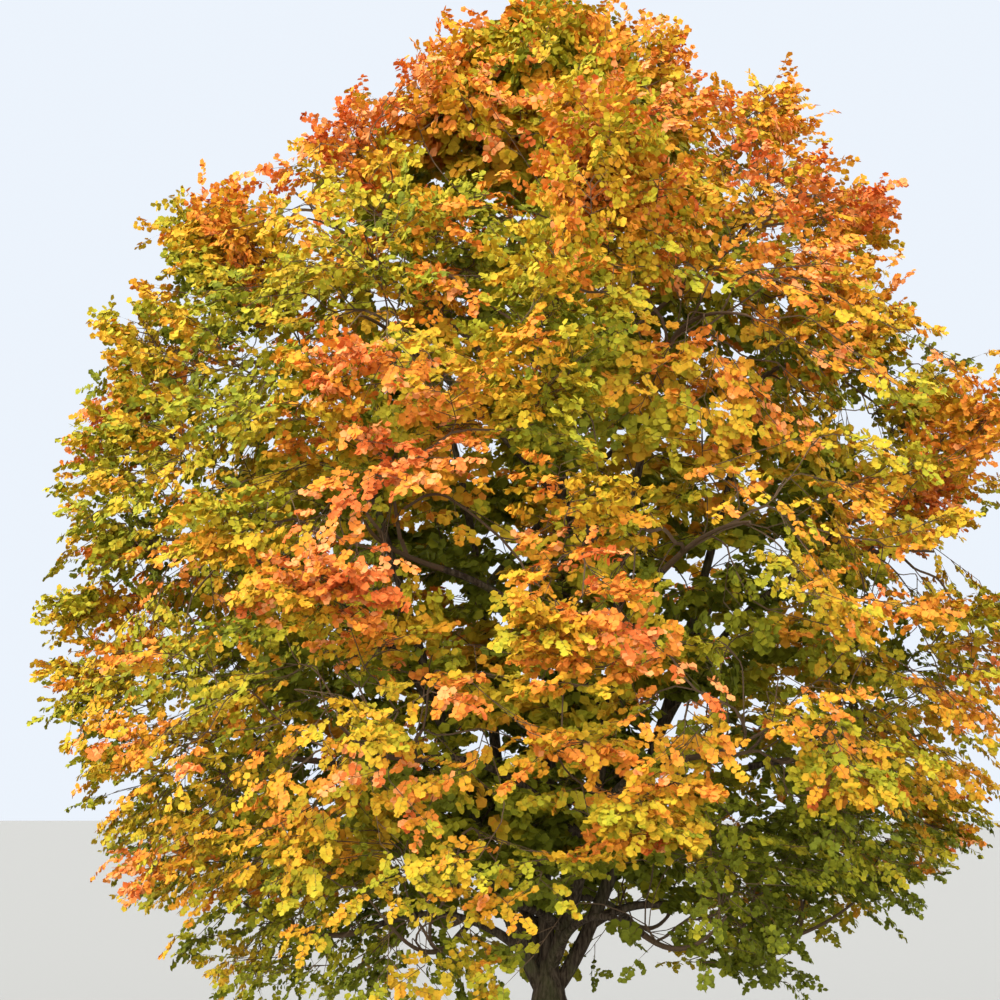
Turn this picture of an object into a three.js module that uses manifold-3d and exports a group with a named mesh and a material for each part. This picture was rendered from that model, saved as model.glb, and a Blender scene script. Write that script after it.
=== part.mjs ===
// Katsura tree in autumn leaf: a short trunk that forks low into rising limbs, boughs that arch
// out of the limbs, and a broad round crown of foliage masses. Millimetres, +Z up, and the origin
// is the middle of the flat cut at ground level. An azimuth is in degrees, 0 is +X and 90 is +Y.
import * as THREE from 'three';
import { mergeVertices } from 'three/addons/utils/BufferGeometryUtils.js';
import Module from 'manifold-3d';

const wasm = await Module();
wasm.setup();

// Crown: an egg of leaves, widest at its waist
const treeHeight = 11600;
const crownRadius = 5080;
const crownWaist = 5200;
const crownDrop = 4900;
const crownBase = 1300;
const shoulderPower = 0.59;
const skirtPower = 0.5;

// Trunk, and the leader that it runs on into above the fork
const trunkRadius = 180;
const flareRadius = 320;
const flareFade = 260;
const flareLobes = 5;
const flareLobeDepth = 0.3;
const forkHeight = 1550;
const forkFade = 650;
const leaderRootRadius = 82;
const leaderTipRadius = 30;
const leaderTop = 9000;
const trunkSway = [[0, 0], [0, 0], [-45, 30], [120, -40], [180, 30], [120, 60], [150, 0]];
const trunkTension = 0.5;
const trunkSides = 14;
const trunkRings = 26;
const trunkRingCrowding = 1.6;

// Limbs that rise from the fork and carry the crown
const limbs = [
  { name: 'right_limb', azimuth: 0, spread: 1.1, root: 1420 },
  { name: 'back_limb', azimuth: 105, spread: 1.0, root: 1560 },
  { name: 'left_limb', azimuth: 180, spread: 0.95, root: 1340 },
  { name: 'front_limb', azimuth: 285, spread: 1.0, root: 1660 },
];
const limbRootRadius = 70;
const limbTipRadius = 30;
const limbOpening = 0.8;
const limbSway = 70;
const limbSides = 8;
const limbRings = 12;

// Boughs: bend is the share of the way out at which a bough's arch is pulled up
const boughRootRadius = 38;
const boughTipRadius = 30;
const boughBend = 0.45;
const boughSway = 0.05;
const boughSwaySeed = 3;
const boughSides = 6;
const boughRings = 5;

// Tiers of foliage from the ground up. Each mass is an egg: depth is its half-length out from the
// trunk and half is its half-height. Its bough, or its stem, leaves the wood at the height from.
const tiers = [
  { name: 'low', height: 2300, count: 6, turn: 0, depth: 1350, half: 950, from: 1950, arch: 0.16 },
  { name: 'lower', height: 3950, count: 6, turn: 240, depth: 1500, half: 1050, from: 2750, arch: 0.12 },
  { name: 'middle', height: 5700, count: 7, turn: 296, depth: 1550, half: 1150, from: 4050, arch: 0.1 },
  { name: 'upper', height: 7600, count: 6, turn: 0, depth: 1500, half: 1350, from: 5350, arch: 0.06 },
  { name: 'high', height: 9300, count: 5, turn: 198, depth: 1300, half: 1250, from: 7100, arch: 0.05 },
  { name: 'top', height: 10450, count: 3, turn: 170, depth: 1400, half: 1200, from: 8500, arch: 0.02 },
];
const fromStagger = 140;
const topRing = 800;
const leaderOnlyFrom = 6500;
const footInset = 0.75;
const footDrop = 0.25;

// Stem of a mass: it ends past the mass's middle, and bend is the share of its length at which it
// leaves its first direction
const stemTipRadius = 25;
const stemOvershoot = 0.2;
const stemBend = 0.5;
const stemSides = 4;
const stemRings = 3;

// Sprigs of a mass: a three-sided twig that ends in one rounded leaf, far larger than life, that
// stands for a spray. They leave the stem from the share sprigFrom on, over the share sprigRun.
const sprigCount = 17;
const sprigFrom = 0.3;
const sprigRun = 0.65;
const sprigRootRadius = 14;
const sprigNeckRadius = 12;
const inwardSkip = -0.5;
const furthestDraw = 1.35;
const leastDraw = 0.35;
const drawStep = 0.05;

// Leaves: half of the outline is given, as shares of the length along and across
const leafLength = 1120;
const leafHalf = [[0.08, 0.34], [0.42, 0.47], [0.76, 0.33]];
const leafMiddle = 0.42;
const leafDome = 0.1;
const leafThickness = 26;
const leafDroop = 0.6;
const leafFacing = 0.8;

// Gaps that keep the solids apart
const seatGap = 0.3;
const spaceGap = 12;
const woodClearance = 6;
const twigGuard = 5;

// Corners nearer than this are one corner: in a fresh shape, and in one that was joined or cut
const freshWeld = 1e-4;
const joinedWeld = 0.02;

// Colours, and how far round from the left each of them reaches, in degrees
const barkColour = 0x5b4737;
const barkRoughness = 0.95;
const leafRoughness = 0.75;
const tints = { green: 0x7d8a2a, gold: 0xcfa22c, orange: 0xd9822b, red: 0xcf5f2c };
const leftAzimuth = 180;
const lowGoldReach = 90;
const middleGreenReach = 50;
const upperRedReach = 30;

const goldenAngle = Math.PI * (3 - Math.sqrt(5));
const goldenStep = (Math.sqrt(5) - 1) / 2;
const up = new THREE.Vector3(0, 0, 1);

const tree = new THREE.Group();

// A number from 0 to 1 that is always the same for the same seed and turn
function jitter(seed, turn) {
  const wave = Math.sin(seed * 12.9898 + turn * 78.233) * 43758.5453;
  return wave - Math.floor(wave);
}

function heading(azimuth) {
  const angle = THREE.MathUtils.degToRad(azimuth);
  return new THREE.Vector3(Math.cos(angle), Math.sin(angle), 0);
}

function across(azimuth) {
  return heading(azimuth + 90);
}

function turnBetween(a, b) {
  return Math.abs(((a - b + 540) % 360) - 180);
}

// Solids
function solidOf(geometry) {
  geometry.deleteAttribute('normal');
  geometry.deleteAttribute('uv');
  const welded = mergeVertices(geometry, freshWeld);
  const vertProperties = new Float32Array(welded.attributes.position.array);
  const triVerts = new Uint32Array(welded.index.array);
  return new wasm.Manifold(new wasm.Mesh({ numProp: 3, vertProperties, triVerts }));
}

// Triangles that the welding of corners flattens are left out
function geometryOf(solid) {
  const mesh = solid.getMesh();
  const joined = new THREE.BufferGeometry();
  joined.setAttribute('position', new THREE.BufferAttribute(mesh.vertProperties, 3));
  joined.setIndex(new THREE.BufferAttribute(mesh.triVerts, 1));
  const geometry = mergeVertices(joined, joinedWeld);
  const corners = geometry.index.array;
  const kept = [];
  for (let i = 0; i < corners.length; i += 3) {
    const [a, b, c] = corners.slice(i, i + 3);
    if (a !== b && b !== c && c !== a) {
      kept.push(a, b, c);
    }
  }
  geometry.setIndex(kept);
  geometry.computeVertexNormals();
  return geometry;
}

// The largest body of a solid: loose scraps go, and so does a hollow's inner wall
function mainBody(solid) {
  return solid.decompose().reduce((best, body) => (body.volume() > best.volume() ? body : best));
}

function addNode(name, solid, colour, roughness) {
  const material = new THREE.MeshStandardMaterial({ color: colour, roughness, metalness: 0 });
  const mesh = new THREE.Mesh(geometryOf(solid), material);
  mesh.name = name;
  tree.add(mesh);
}

function tangentOf(pointAt, along) {
  const step = 1e-3;
  const before = pointAt(Math.max(along - step, 0));
  return pointAt(Math.min(along + step, 1)).sub(before).normalize();
}

// A tapering rod: a cylinder whose rings are set square along a course
function rod({ pointAt, radiusAt, reference, sides, rings, crowding = 1 }) {
  const cylinder = new THREE.CylinderGeometry(1, 1, 1, sides, rings);
  cylinder.deleteAttribute('normal');
  cylinder.deleteAttribute('uv');
  const geometry = mergeVertices(cylinder, freshWeld);
  const position = geometry.attributes.position;
  for (let i = 0; i < position.count; i += 1) {
    const along = Math.pow(position.getY(i) + 0.5, crowding);
    const tangent = tangentOf(pointAt, along);
    const side = reference.clone().addScaledVector(tangent, -reference.dot(tangent)).normalize();
    const other = new THREE.Vector3().crossVectors(side, tangent);
    const x = position.getX(i);
    const z = position.getZ(i);
    const radius = radiusAt(along, Math.atan2(z, x));
    const point = pointAt(along).addScaledVector(side, x * radius).addScaledVector(other, z * radius);
    position.setXYZ(i, point.x, point.y, point.z);
  }
  return geometry;
}

function tapered(root, tip, extra = 0) {
  return (along) => THREE.MathUtils.lerp(root, tip, along) + extra;
}

// A reference that is far from parallel to a direction of length 1
function awayFrom(direction) {
  const steep = Math.abs(direction.z) > 0.9;
  return steep ? new THREE.Vector3(1, 0, 0) : up.clone();
}

// Crown
function crownReach(height) {
  const above = height > crownWaist;
  const rise = (height - crownWaist) / (above ? treeHeight - crownWaist : crownDrop);
  return crownRadius * Math.pow(Math.max(1 - rise * rise, 0), above ? shoulderPower : skirtPower);
}

function inCrown(point) {
  return point.z > crownBase && Math.hypot(point.x, point.y) < crownReach(point.z);
}

// Trunk
const trunkCourse = new THREE.CatmullRomCurve3(
  trunkSway.map(([x, y], i) => new THREE.Vector3(x, y, (leaderTop * i) / (trunkSway.length - 1))),
  false,
  'catmullrom',
  trunkTension,
);

function trunkPoint(height) {
  return trunkCourse.getPoint(height / leaderTop);
}

function trunkRadiusAt(height, angle) {
  const leader = THREE.MathUtils.lerp(leaderRootRadius, leaderTipRadius, height / leaderTop);
  const fork = THREE.MathUtils.smoothstep(height, forkHeight - forkFade / 2, forkHeight + forkFade / 2);
  const flare = (flareRadius - trunkRadius) * Math.exp(-height / flareFade);
  const lobe = 1 + flareLobeDepth * Math.cos(flareLobes * angle);
  return THREE.MathUtils.lerp(trunkRadius, leader, fork) + flare * lobe;
}

// The lowest ring is laid level, which makes the flat cut at the ground
function trunkSolid(extra) {
  const geometry = rod({
    pointAt: (along) => trunkPoint(along * leaderTop),
    radiusAt: (along, angle) => trunkRadiusAt(along * leaderTop, angle) + extra,
    reference: new THREE.Vector3(1, 0, 0),
    sides: trunkSides,
    rings: trunkRings,
    crowding: trunkRingCrowding,
  });
  const position = geometry.attributes.position;
  for (let i = 0; i < position.count; i += 1) {
    if (position.getZ(i) < 1) {
      position.setZ(i, 0);
    }
  }
  return solidOf(geometry);
}

// Foliage masses, tier by tier. The first of the top tier stands on the leader's tip.
function massesOf(tier) {
  const top = tier === tiers.at(-1);
  const ring = top ? topRing : crownReach(tier.height) - tier.depth;
  const half = top ? tier.depth : (Math.PI * ring) / tier.count;
  return Array.from({ length: tier.count }, (_, i) => {
    const azimuth = (tier.turn + (i * 360) / tier.count) % 360;
    const centre = heading(azimuth).multiplyScalar(ring).setZ(tier.height);
    const topmost = top && i === 0;
    return { name: `${tier.name}_foliage_${i + 1}`, number: i, tier, topmost, azimuth, centre, half };
  });
}

const masses = tiers.flatMap(massesOf);

// A mass keeps to the part of the crown that lies nearer to its middle than to any other
function inOwnSpace(mass, point) {
  return inCrown(point) && masses.every((other) => {
    if (other === mass) {
      return true;
    }
    const apart = other.centre.clone().sub(mass.centre);
    const between = mass.centre.clone().add(other.centre).multiplyScalar(0.5);
    return point.clone().sub(between).dot(apart) / apart.length() < -spaceGap;
  });
}

// Where a mass is entered: on its inner side, a little under its middle
function footOf(mass) {
  const foot = mass.centre.clone().addScaledVector(heading(mass.azimuth), -footInset * mass.tier.depth);
  return foot.addScaledVector(up, -footDrop * mass.tier.half);
}

// Limbs: each opens out fast at the fork and then rises to the upper mass nearest to it
const upperMasses = masses.filter((mass) => mass.tier.name === 'upper');

function nearestTo(azimuth, list) {
  const gap = (item) => turnBetween(item.azimuth, azimuth);
  return list.reduce((best, item) => (gap(item) < gap(best) ? item : best));
}

for (const limb of limbs) {
  const mass = nearestTo(limb.azimuth, upperMasses);
  const start = trunkPoint(limb.root);
  const out = footOf(mass).sub(start);
  mass.carrier = limb;
  limb.pointAt = (along) => {
    const opened = Math.pow(along, limbOpening / limb.spread);
    const point = new THREE.Vector3(out.x * opened, out.y * opened, out.z * along).add(start);
    return point.addScaledVector(across(limb.azimuth), limbSway * Math.sin(2 * Math.PI * along));
  };
  limb.alongAt = (height) => (height - start.z) / out.z;
  limb.radii = [limbRootRadius, limbTipRadius];
  limb.sides = limbSides;
  limb.rings = limbRings;
}

// Boughs: one from the nearest limb to each mass that neither a limb nor the leader carries
function boughTo(mass, limb) {
  const leave = mass.tier.from + fromStagger * (jitter(mass.number, mass.tier.count) * 2 - 1);
  const start = limb.pointAt(limb.alongAt(leave));
  const end = footOf(mass);
  const length = start.distanceTo(end);
  const sway = boughSway * length * (jitter(mass.azimuth, boughSwaySeed) * 2 - 1);
  const bend = start.clone().lerp(end, boughBend);
  bend.addScaledVector(up, 2 * mass.tier.arch * length).addScaledVector(across(mass.azimuth), 2 * sway);
  const course = new THREE.QuadraticBezierCurve3(start, bend, end);
  return {
    name: mass.name.replace('foliage', 'bough'),
    azimuth: mass.azimuth,
    pointAt: (along) => course.getPoint(along),
    radii: [boughRootRadius, boughTipRadius],
    sides: boughSides,
    rings: boughRings,
  };
}

const boughs = [];
for (const mass of masses) {
  const onLeader = mass.tier.from > leaderOnlyFrom;
  if (!mass.carrier && !onLeader) {
    mass.carrier = boughTo(mass, nearestTo(mass.azimuth, limbs));
    boughs.push(mass.carrier);
  }
}

function branchSolid(branch, extra) {
  return solidOf(rod({
    pointAt: branch.pointAt,
    radiusAt: tapered(branch.radii[0], branch.radii[1], extra),
    reference: across(branch.azimuth),
    sides: branch.sides,
    rings: branch.rings,
  }));
}

const seats = [trunkSolid(seatGap)];
const fenced = [trunkSolid(woodClearance)];
addNode('trunk', trunkSolid(0), barkColour, barkRoughness);
for (const branch of [...limbs, ...boughs]) {
  const cut = seats.reduce((solid, seat) => solid.subtract(seat), branchSolid(branch, 0));
  addNode(branch.name, mainBody(cut), barkColour, barkRoughness);
  seats.push(branchSolid(branch, seatGap));
  fenced.push(branchSolid(branch, woodClearance));
}
const wood = fenced.reduce((sum, solid) => sum.add(solid));

// The ways that a leaf lies: forward to its tip, to its side and square to its flat
function leafAxes(direction, wanted) {
  const forward = direction.clone().addScaledVector(up, -leafDroop).normalize();
  const flat = wanted.clone().addScaledVector(forward, -wanted.dot(forward)).normalize();
  return { forward, flat, side: new THREE.Vector3().crossVectors(flat, forward) };
}

// Three corners of a twig about a point
function twigCorners(centre, direction, side, radius) {
  const wide = side.clone().addScaledVector(direction, -side.dot(direction)).normalize();
  const high = new THREE.Vector3().crossVectors(direction, wide);
  return [90, 210, 330].map((turn) => {
    const angle = THREE.MathUtils.degToRad(turn);
    return centre.clone()
      .addScaledVector(wide, radius * Math.cos(angle))
      .addScaledVector(high, radius * Math.sin(angle));
  });
}

// The corners of a sprig: the twig's root, the neck, the leaf's rim and its raised middle. Its
// twig can be made thicker by extra, to keep the next one off it.
function sprigPoints(start, neck, axes, extra) {
  const { forward, side, flat } = axes;
  const along = neck.clone().sub(start).normalize();
  const halfway = along.clone().add(forward).normalize();
  const place = (x, y, z) => neck.clone()
    .addScaledVector(forward, x * leafLength)
    .addScaledVector(side, y * leafLength)
    .addScaledVector(flat, z);
  const rightHalf = leafHalf.map(([x, y]) => place(x, y, 0));
  const leftHalf = leafHalf.map(([x, y]) => place(x, -y, 0)).reverse();
  const dome = leafDome * leafLength;
  return {
    root: twigCorners(start, along, side, sprigRootRadius + extra),
    neck: twigCorners(neck, halfway, side, sprigNeckRadius + extra),
    rim: [...rightHalf, place(1, 0, 0), ...leftHalf],
    middle: [place(leafMiddle, 0, dome + leafThickness), place(leafMiddle, 0, dome)],
  };
}

function sprigSolid({ root, neck, rim, middle }) {
  const points = [...root, ...neck, ...rim, ...middle];
  const [top0, left0, right0, top1, left1, right1] = [0, 1, 2, 3, 4, 5];
  const upper = points.length - 2;
  const under = points.length - 1;
  const faces = [right0, left0, top0];
  for (const [a0, a1, b0, b1] of [
    [right0, right1, left0, left1],
    [left0, left1, top0, top1],
    [top0, top1, right0, right1],
  ]) {
    faces.push(a0, a1, b1, a0, b1, b0);
  }
  const edge = [right1, ...rim.map((_, i) => i + 6), left1];
  for (let i = 0; i + 1 < edge.length; i += 1) {
    faces.push(edge[i + 1], edge[i], upper, edge[i], edge[i + 1], under);
  }
  faces.push(top1, left1, upper, right1, top1, upper, left1, right1, under);
  const geometry = new THREE.BufferGeometry().setFromPoints(points);
  geometry.setIndex(faces);
  return solidOf(geometry);
}

// The stem of a mass goes on from the tip of its carrier, or leaves the leader
function stemOf(mass) {
  const end = mass.centre.clone().addScaledVector(heading(mass.azimuth), stemOvershoot * mass.tier.depth);
  const pointAt = mass.carrier ? mass.carrier.pointAt : (along) => trunkPoint(along * leaderTop);
  const fromSide = !mass.carrier && !mass.topmost;
  const start = fromSide ? trunkPoint(mass.tier.from + fromStagger * mass.number) : pointAt(1);
  const span = start.distanceTo(end);
  const leaving = fromSide
    ? end.clone().sub(start).addScaledVector(up, mass.tier.arch * span).normalize()
    : tangentOf(pointAt, 1);
  start.addScaledVector(leaving, fromSide ? 0 : seatGap);
  const bend = start.clone().addScaledVector(leaving, stemBend * span);
  const course = new THREE.QuadraticBezierCurve3(start, bend, end);
  const solid = solidOf(rod({
    pointAt: (along) => course.getPoint(along),
    radiusAt: tapered(boughTipRadius, stemTipRadius),
    reference: awayFrom(leaving),
    sides: stemSides,
    rings: stemRings,
  }));
  return { course, solid: fromSide ? mainBody(solid.subtract(seats[0])) : solid };
}

// Ways that the sprigs of a mass point: straight out, and then spread evenly over its egg by the
// golden angle
function sprigArms(mass) {
  const outward = heading(mass.azimuth);
  const sideways = across(mass.azimuth);
  const first = 2 * Math.PI * jitter(mass.azimuth, mass.tier.height);
  const arms = [outward.clone().multiplyScalar(mass.tier.depth)];
  for (let i = 0; i < sprigCount; i += 1) {
    const rise = 1 - (2 * (i + 0.5)) / sprigCount;
    const level = Math.sqrt(1 - rise * rise);
    const turn = first + goldenAngle * i;
    if (Math.cos(turn) * level > inwardSkip) {
      arms.push(new THREE.Vector3()
        .addScaledVector(outward, Math.cos(turn) * level * mass.tier.depth)
        .addScaledVector(sideways, Math.sin(turn) * level * mass.half)
        .addScaledVector(up, rise * mass.tier.half));
    }
  }
  return arms;
}

// One mass: a stem with a sprig along each arm. A sprig that would leave the mass's space or
// touch wood or another sprig is drawn in along its arm until it fits, or else skipped.
function massSolid(mass) {
  const { course, solid: stem } = stemOf(mass);
  const sprigs = [];
  sprigArms(mass).forEach((arm, i) => {
    const start = course.getPoint(sprigFrom + sprigRun * ((goldenStep * (i + 1)) % 1));
    const wanted = heading(mass.azimuth).add(up).addScaledVector(arm.clone().normalize(), leafFacing);
    for (let draw = furthestDraw; draw > leastDraw; draw -= drawStep) {
      const tip = mass.centre.clone().addScaledVector(arm, draw);
      const axes = leafAxes(tip.clone().sub(start).normalize(), wanted);
      const neck = tip.clone().addScaledVector(axes.forward, -leafLength);
      const points = sprigPoints(start, neck, axes, 0);
      if (![...points.neck, ...points.rim, ...points.middle].every((point) => inOwnSpace(mass, point))) {
        continue;
      }
      const guard = sprigSolid(sprigPoints(start, neck, axes, twigGuard));
      const crossed = sprigs.some((other) => !other.intersect(guard).isEmpty());
      if (!crossed && guard.intersect(wood).isEmpty()) {
        sprigs.push(sprigSolid(points));
        break;
      }
    }
  });
  return mainBody(sprigs.reduce((solid, sprig) => solid.add(sprig), stem));
}

// Autumn colours by place: the low tier is gold on the left and green on the right, the middle one
// green on the left, the upper one gold with red on the left, and the rest is orange
function tintOf(mass) {
  const { name } = mass.tier;
  const fromLeft = turnBetween(mass.azimuth, leftAzimuth);
  if (name === 'low') {
    return fromLeft < lowGoldReach ? tints.gold : tints.green;
  }
  if (name === 'middle' && fromLeft < middleGreenReach) {
    return tints.green;
  }
  if (name === 'upper') {
    return fromLeft < upperRedReach ? tints.red : tints.gold;
  }
  return tints.orange;
}

for (const mass of masses) {
  addNode(mass.name, massSolid(mass), tintOf(mass), leafRoughness);
}

export default tree;
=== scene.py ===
"""A katsura tree in autumn leaf, dressed on its fixed frame of trunk, limbs, boughs and masses.

The frame's masses are stems with a few large leaves. Here each of those leaves becomes a spray: a
twig with side twigs, shoots and pairs of small rounded leaves, grown on by the same rule. More
sprays fill the crown between them, and gaps are left where sky or limbs show.
"""

import math
from collections import namedtuple
from dataclasses import dataclass

import bpy
import numpy as np
from bpy.props import FloatProperty, FloatVectorProperty, IntProperty, PointerProperty
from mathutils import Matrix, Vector, noise


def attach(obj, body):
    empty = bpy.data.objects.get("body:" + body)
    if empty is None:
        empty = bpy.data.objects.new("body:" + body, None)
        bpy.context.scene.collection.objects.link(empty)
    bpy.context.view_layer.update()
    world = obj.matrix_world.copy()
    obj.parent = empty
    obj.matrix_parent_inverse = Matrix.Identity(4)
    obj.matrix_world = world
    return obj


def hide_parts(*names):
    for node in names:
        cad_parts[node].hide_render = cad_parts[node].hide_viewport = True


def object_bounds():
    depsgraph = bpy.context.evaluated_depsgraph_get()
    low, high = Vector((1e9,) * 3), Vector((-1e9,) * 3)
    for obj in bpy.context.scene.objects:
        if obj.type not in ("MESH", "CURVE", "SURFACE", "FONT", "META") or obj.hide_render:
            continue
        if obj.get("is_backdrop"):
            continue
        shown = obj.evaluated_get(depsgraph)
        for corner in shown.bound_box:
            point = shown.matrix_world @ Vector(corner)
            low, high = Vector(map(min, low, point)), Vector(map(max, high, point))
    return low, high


bl_info = {
    "name": "Katsura Tree",
    "version": (1, 0, 0),
    "blender": (4, 5, 0),
    "location": "View3D > Sidebar > Tree",
    "description": "Grows the bark, twigs and autumn leaves of a katsura tree on its frame",
    "category": "Object",
}

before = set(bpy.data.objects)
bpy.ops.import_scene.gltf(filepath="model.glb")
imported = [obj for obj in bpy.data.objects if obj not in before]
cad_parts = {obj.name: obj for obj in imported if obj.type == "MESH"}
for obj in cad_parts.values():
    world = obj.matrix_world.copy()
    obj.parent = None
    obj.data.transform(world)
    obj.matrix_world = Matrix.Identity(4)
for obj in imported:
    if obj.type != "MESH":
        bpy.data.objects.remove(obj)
FRAME_LOW, FRAME_HIGH = (np.array(corner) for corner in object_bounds())

UP = np.array((0.0, 0.0, 1.0))
RIGHT = np.array((1.0, 0.0, 0.0))
LEVEL = np.array((1.0, 1.0, 0.0))
GOLDEN_ANGLE = math.pi * (3.0 - math.sqrt(5.0))
GOLDEN_STEP = (math.sqrt(5.0) - 1.0) / 2.0
TINY = 1e-9
JITTER_BY_SEED = 12.9898
JITTER_BY_TURN = 78.233
JITTER_SCALE = 43758.5453
MILLIMETRES = 1000.0

# Sizes that the frame is made from, in metres
TREE_HEIGHT = 11.6
CROWN_RADIUS = 5.08
CROWN_WAIST = 5.2
CROWN_DROP = 4.9
CROWN_BASE = 1.3
SHOULDER_POWER = 0.59
SKIRT_POWER = 0.5

TRUNK_RADIUS = 0.18
FLARE_RADIUS = 0.32
FLARE_FADE = 0.26
FLARE_LOBES = 5
FLARE_LOBE_DEPTH = 0.3
FORK_HEIGHT = 1.55
FORK_FADE = 0.65
LEADER_ROOT_RADIUS = 0.082
LEADER_TIP_RADIUS = 0.03
LEADER_TOP = 9.0
# How far the trunk's middle lies to the right and to the back, at even steps up the leader
TRUNK_SWAY = np.array(
    ((0, 0), (0, 0), (-0.045, 0.03), (0.12, -0.04), (0.18, 0.03), (0.12, 0.06), (0.15, 0))
)
TRUNK_TENSION = 0.5
TRUNK_RING_CROWDING = 1.6

LIMB_ROOT_RADIUS = 0.07
LIMB_TIP_RADIUS = 0.03
LIMB_OPENING = 0.8
LIMB_SWAY = 0.07

BOUGH_ROOT_RADIUS = 0.038
BOUGH_TIP_RADIUS = 0.03
BOUGH_BEND = 0.45
BOUGH_SWAY = 0.05
BOUGH_SWAY_SEED = 3

FROM_STAGGER = 0.14
TOP_RING = 0.8
LEADER_ONLY_FROM = 6.5
FOOT_INSET = 0.75
FOOT_DROP = 0.25

STEM_OVERSHOOT = 0.2
STEM_BEND = 0.5
STEM_TIP_RADIUS = 0.012
SPRIG_COUNT = 17
SPRIG_FROM = 0.3
SPRIG_RUN = 0.65
INWARD_SKIP = -0.5
FURTHEST_DRAW = 1.35
LEAST_DRAW = 0.35
DRAW_STEP = 0.05
SPRAY_OUTLINE = np.array(((0.0, 0.0), (0.08, 0.34), (0.42, 0.47), (0.76, 0.33), (1.0, 0.0)))
SPRAY_LENGTH = 1.12
SPRAY_DROOP = 0.6
SPRAY_FACING = 0.8
SPACE_GAP = 0.012
# How far back from a tip its way is measured
LEADER_STEP = 0.01
CARRIER_STEP = 0.001

CAMERA_PLACE = np.array((-0.48, -24.0, 3.4))


@dataclass(frozen=True)
class Tier:
    """One ring of foliage masses: depth is out from the trunk, half is up and down."""

    name: str
    height: float
    count: int
    turn: float
    depth: float
    half: float
    leave: float
    arch: float


TIERS = (
    Tier("low", 2.3, 6, 0, 1.35, 0.95, 1.95, 0.16),
    Tier("lower", 3.95, 6, 240, 1.5, 1.05, 2.75, 0.12),
    Tier("middle", 5.7, 7, 296, 1.55, 1.15, 4.05, 0.1),
    Tier("upper", 7.6, 6, 0, 1.5, 1.35, 5.35, 0.06),
    Tier("high", 9.3, 5, 198, 1.3, 1.25, 7.1, 0.05),
    Tier("top", 10.45, 3, 170, 1.4, 1.2, 8.5, 0.02),
)


# Each limb's name, its azimuth, how far it spreads and the height of its root
LIMB_PLACES = (
    ("right_limb", 0, 1.1, 1.42),
    ("back_limb", 105, 1.0, 1.56),
    ("left_limb", 180, 0.95, 1.34),
    ("front_limb", 285, 1.0, 1.66),
)


@dataclass
class Mass:
    """A foliage mass of the frame and the course that carries it, if one does."""

    name: str
    number: int
    tier: Tier
    azimuth: float
    centre: np.ndarray
    half: float
    topmost: bool
    carrier: object = None


@dataclass
class Branch:
    """A limb or a bough: its course, its radii at both ends and its azimuth."""

    name: str
    azimuth: float
    point_at: object
    radii: tuple


def jitter(seed, turn):
    """A number from 0 to 1 that is always the same for the same seed and turn."""
    wave = math.sin(seed * JITTER_BY_SEED + turn * JITTER_BY_TURN) * JITTER_SCALE
    return wave - math.floor(wave)


def heading(azimuth):
    """The level way towards an azimuth in degrees."""
    angle = math.radians(azimuth)
    return np.array((math.cos(angle), math.sin(angle), 0.0))


def across(azimuth):
    """The level way square to an azimuth."""
    return heading(azimuth + 90.0)


def turn_between(a, b):
    """The smaller angle between two azimuths."""
    return abs((a - b + 540.0) % 360.0 - 180.0)


def unit(vectors):
    """The same ways, each with a length of 1."""
    return vectors / np.maximum(np.linalg.norm(vectors, axis=-1, keepdims=True), TINY)


def smoothstep(value, low, high):
    """0 under the low mark, 1 above the high one and smooth between them."""
    share = np.clip((value - low) / (high - low), 0.0, 1.0)
    return share * share * (3.0 - 2.0 * share)


def falling(value, high, low):
    """0 above the high mark, 1 below the low one and smooth between them."""
    return smoothstep(-value, -high, -low)


def graded(height, low_value, gain, low, high):
    """A value that goes up by gain between two heights, and stays the same under and over them."""
    return low_value + gain * float(smoothstep(height, low, high))


def egg_reach(heights, top, shoulder_power):
    """How far out an egg goes at each height, which is widest at the crown's waist."""
    heights = np.asarray(heights, dtype=float)
    above = heights > CROWN_WAIST
    rise = (heights - CROWN_WAIST) / np.where(above, top - CROWN_WAIST, CROWN_DROP)
    power = np.where(above, shoulder_power, SKIRT_POWER)
    return CROWN_RADIUS * np.maximum(1.0 - rise * rise, 0.0) ** power


def trunk_point(height):
    """The middle of the trunk and its leader at a height."""
    run = min(max(height / LEADER_TOP, 0.0), 1.0) * (len(TRUNK_SWAY) - 1)
    here = min(int(run), len(TRUNK_SWAY) - 2)
    share = run - here
    padded = np.vstack(
        (2 * TRUNK_SWAY[0] - TRUNK_SWAY[1], TRUNK_SWAY, 2 * TRUNK_SWAY[-1] - TRUNK_SWAY[-2])
    )
    before, start, end, after = padded[here : here + 4]
    leaving = TRUNK_TENSION * (end - start + start - before)
    arriving = TRUNK_TENSION * (after - start)
    square, cube = share * share, share**3
    x, y = (
        (2 * cube - 3 * square + 1) * start
        + (cube - 2 * square + share) * leaving
        + (3 * square - 2 * cube) * end
        + (cube - square) * arriving
    )
    return np.array((x, y, height))


def trunk_radius(height, angle):
    """How thick the trunk is at a height towards an angle, with its flare at the foot."""
    taper = LEADER_TIP_RADIUS - LEADER_ROOT_RADIUS
    leader = LEADER_ROOT_RADIUS + taper * height / LEADER_TOP
    fork = smoothstep(height, FORK_HEIGHT - FORK_FADE / 2, FORK_HEIGHT + FORK_FADE / 2)
    flare = (FLARE_RADIUS - TRUNK_RADIUS) * np.exp(-height / FLARE_FADE)
    lobe = 1.0 + FLARE_LOBE_DEPTH * np.cos(FLARE_LOBES * angle)
    return TRUNK_RADIUS + (leader - TRUNK_RADIUS) * fork + flare * lobe


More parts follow.
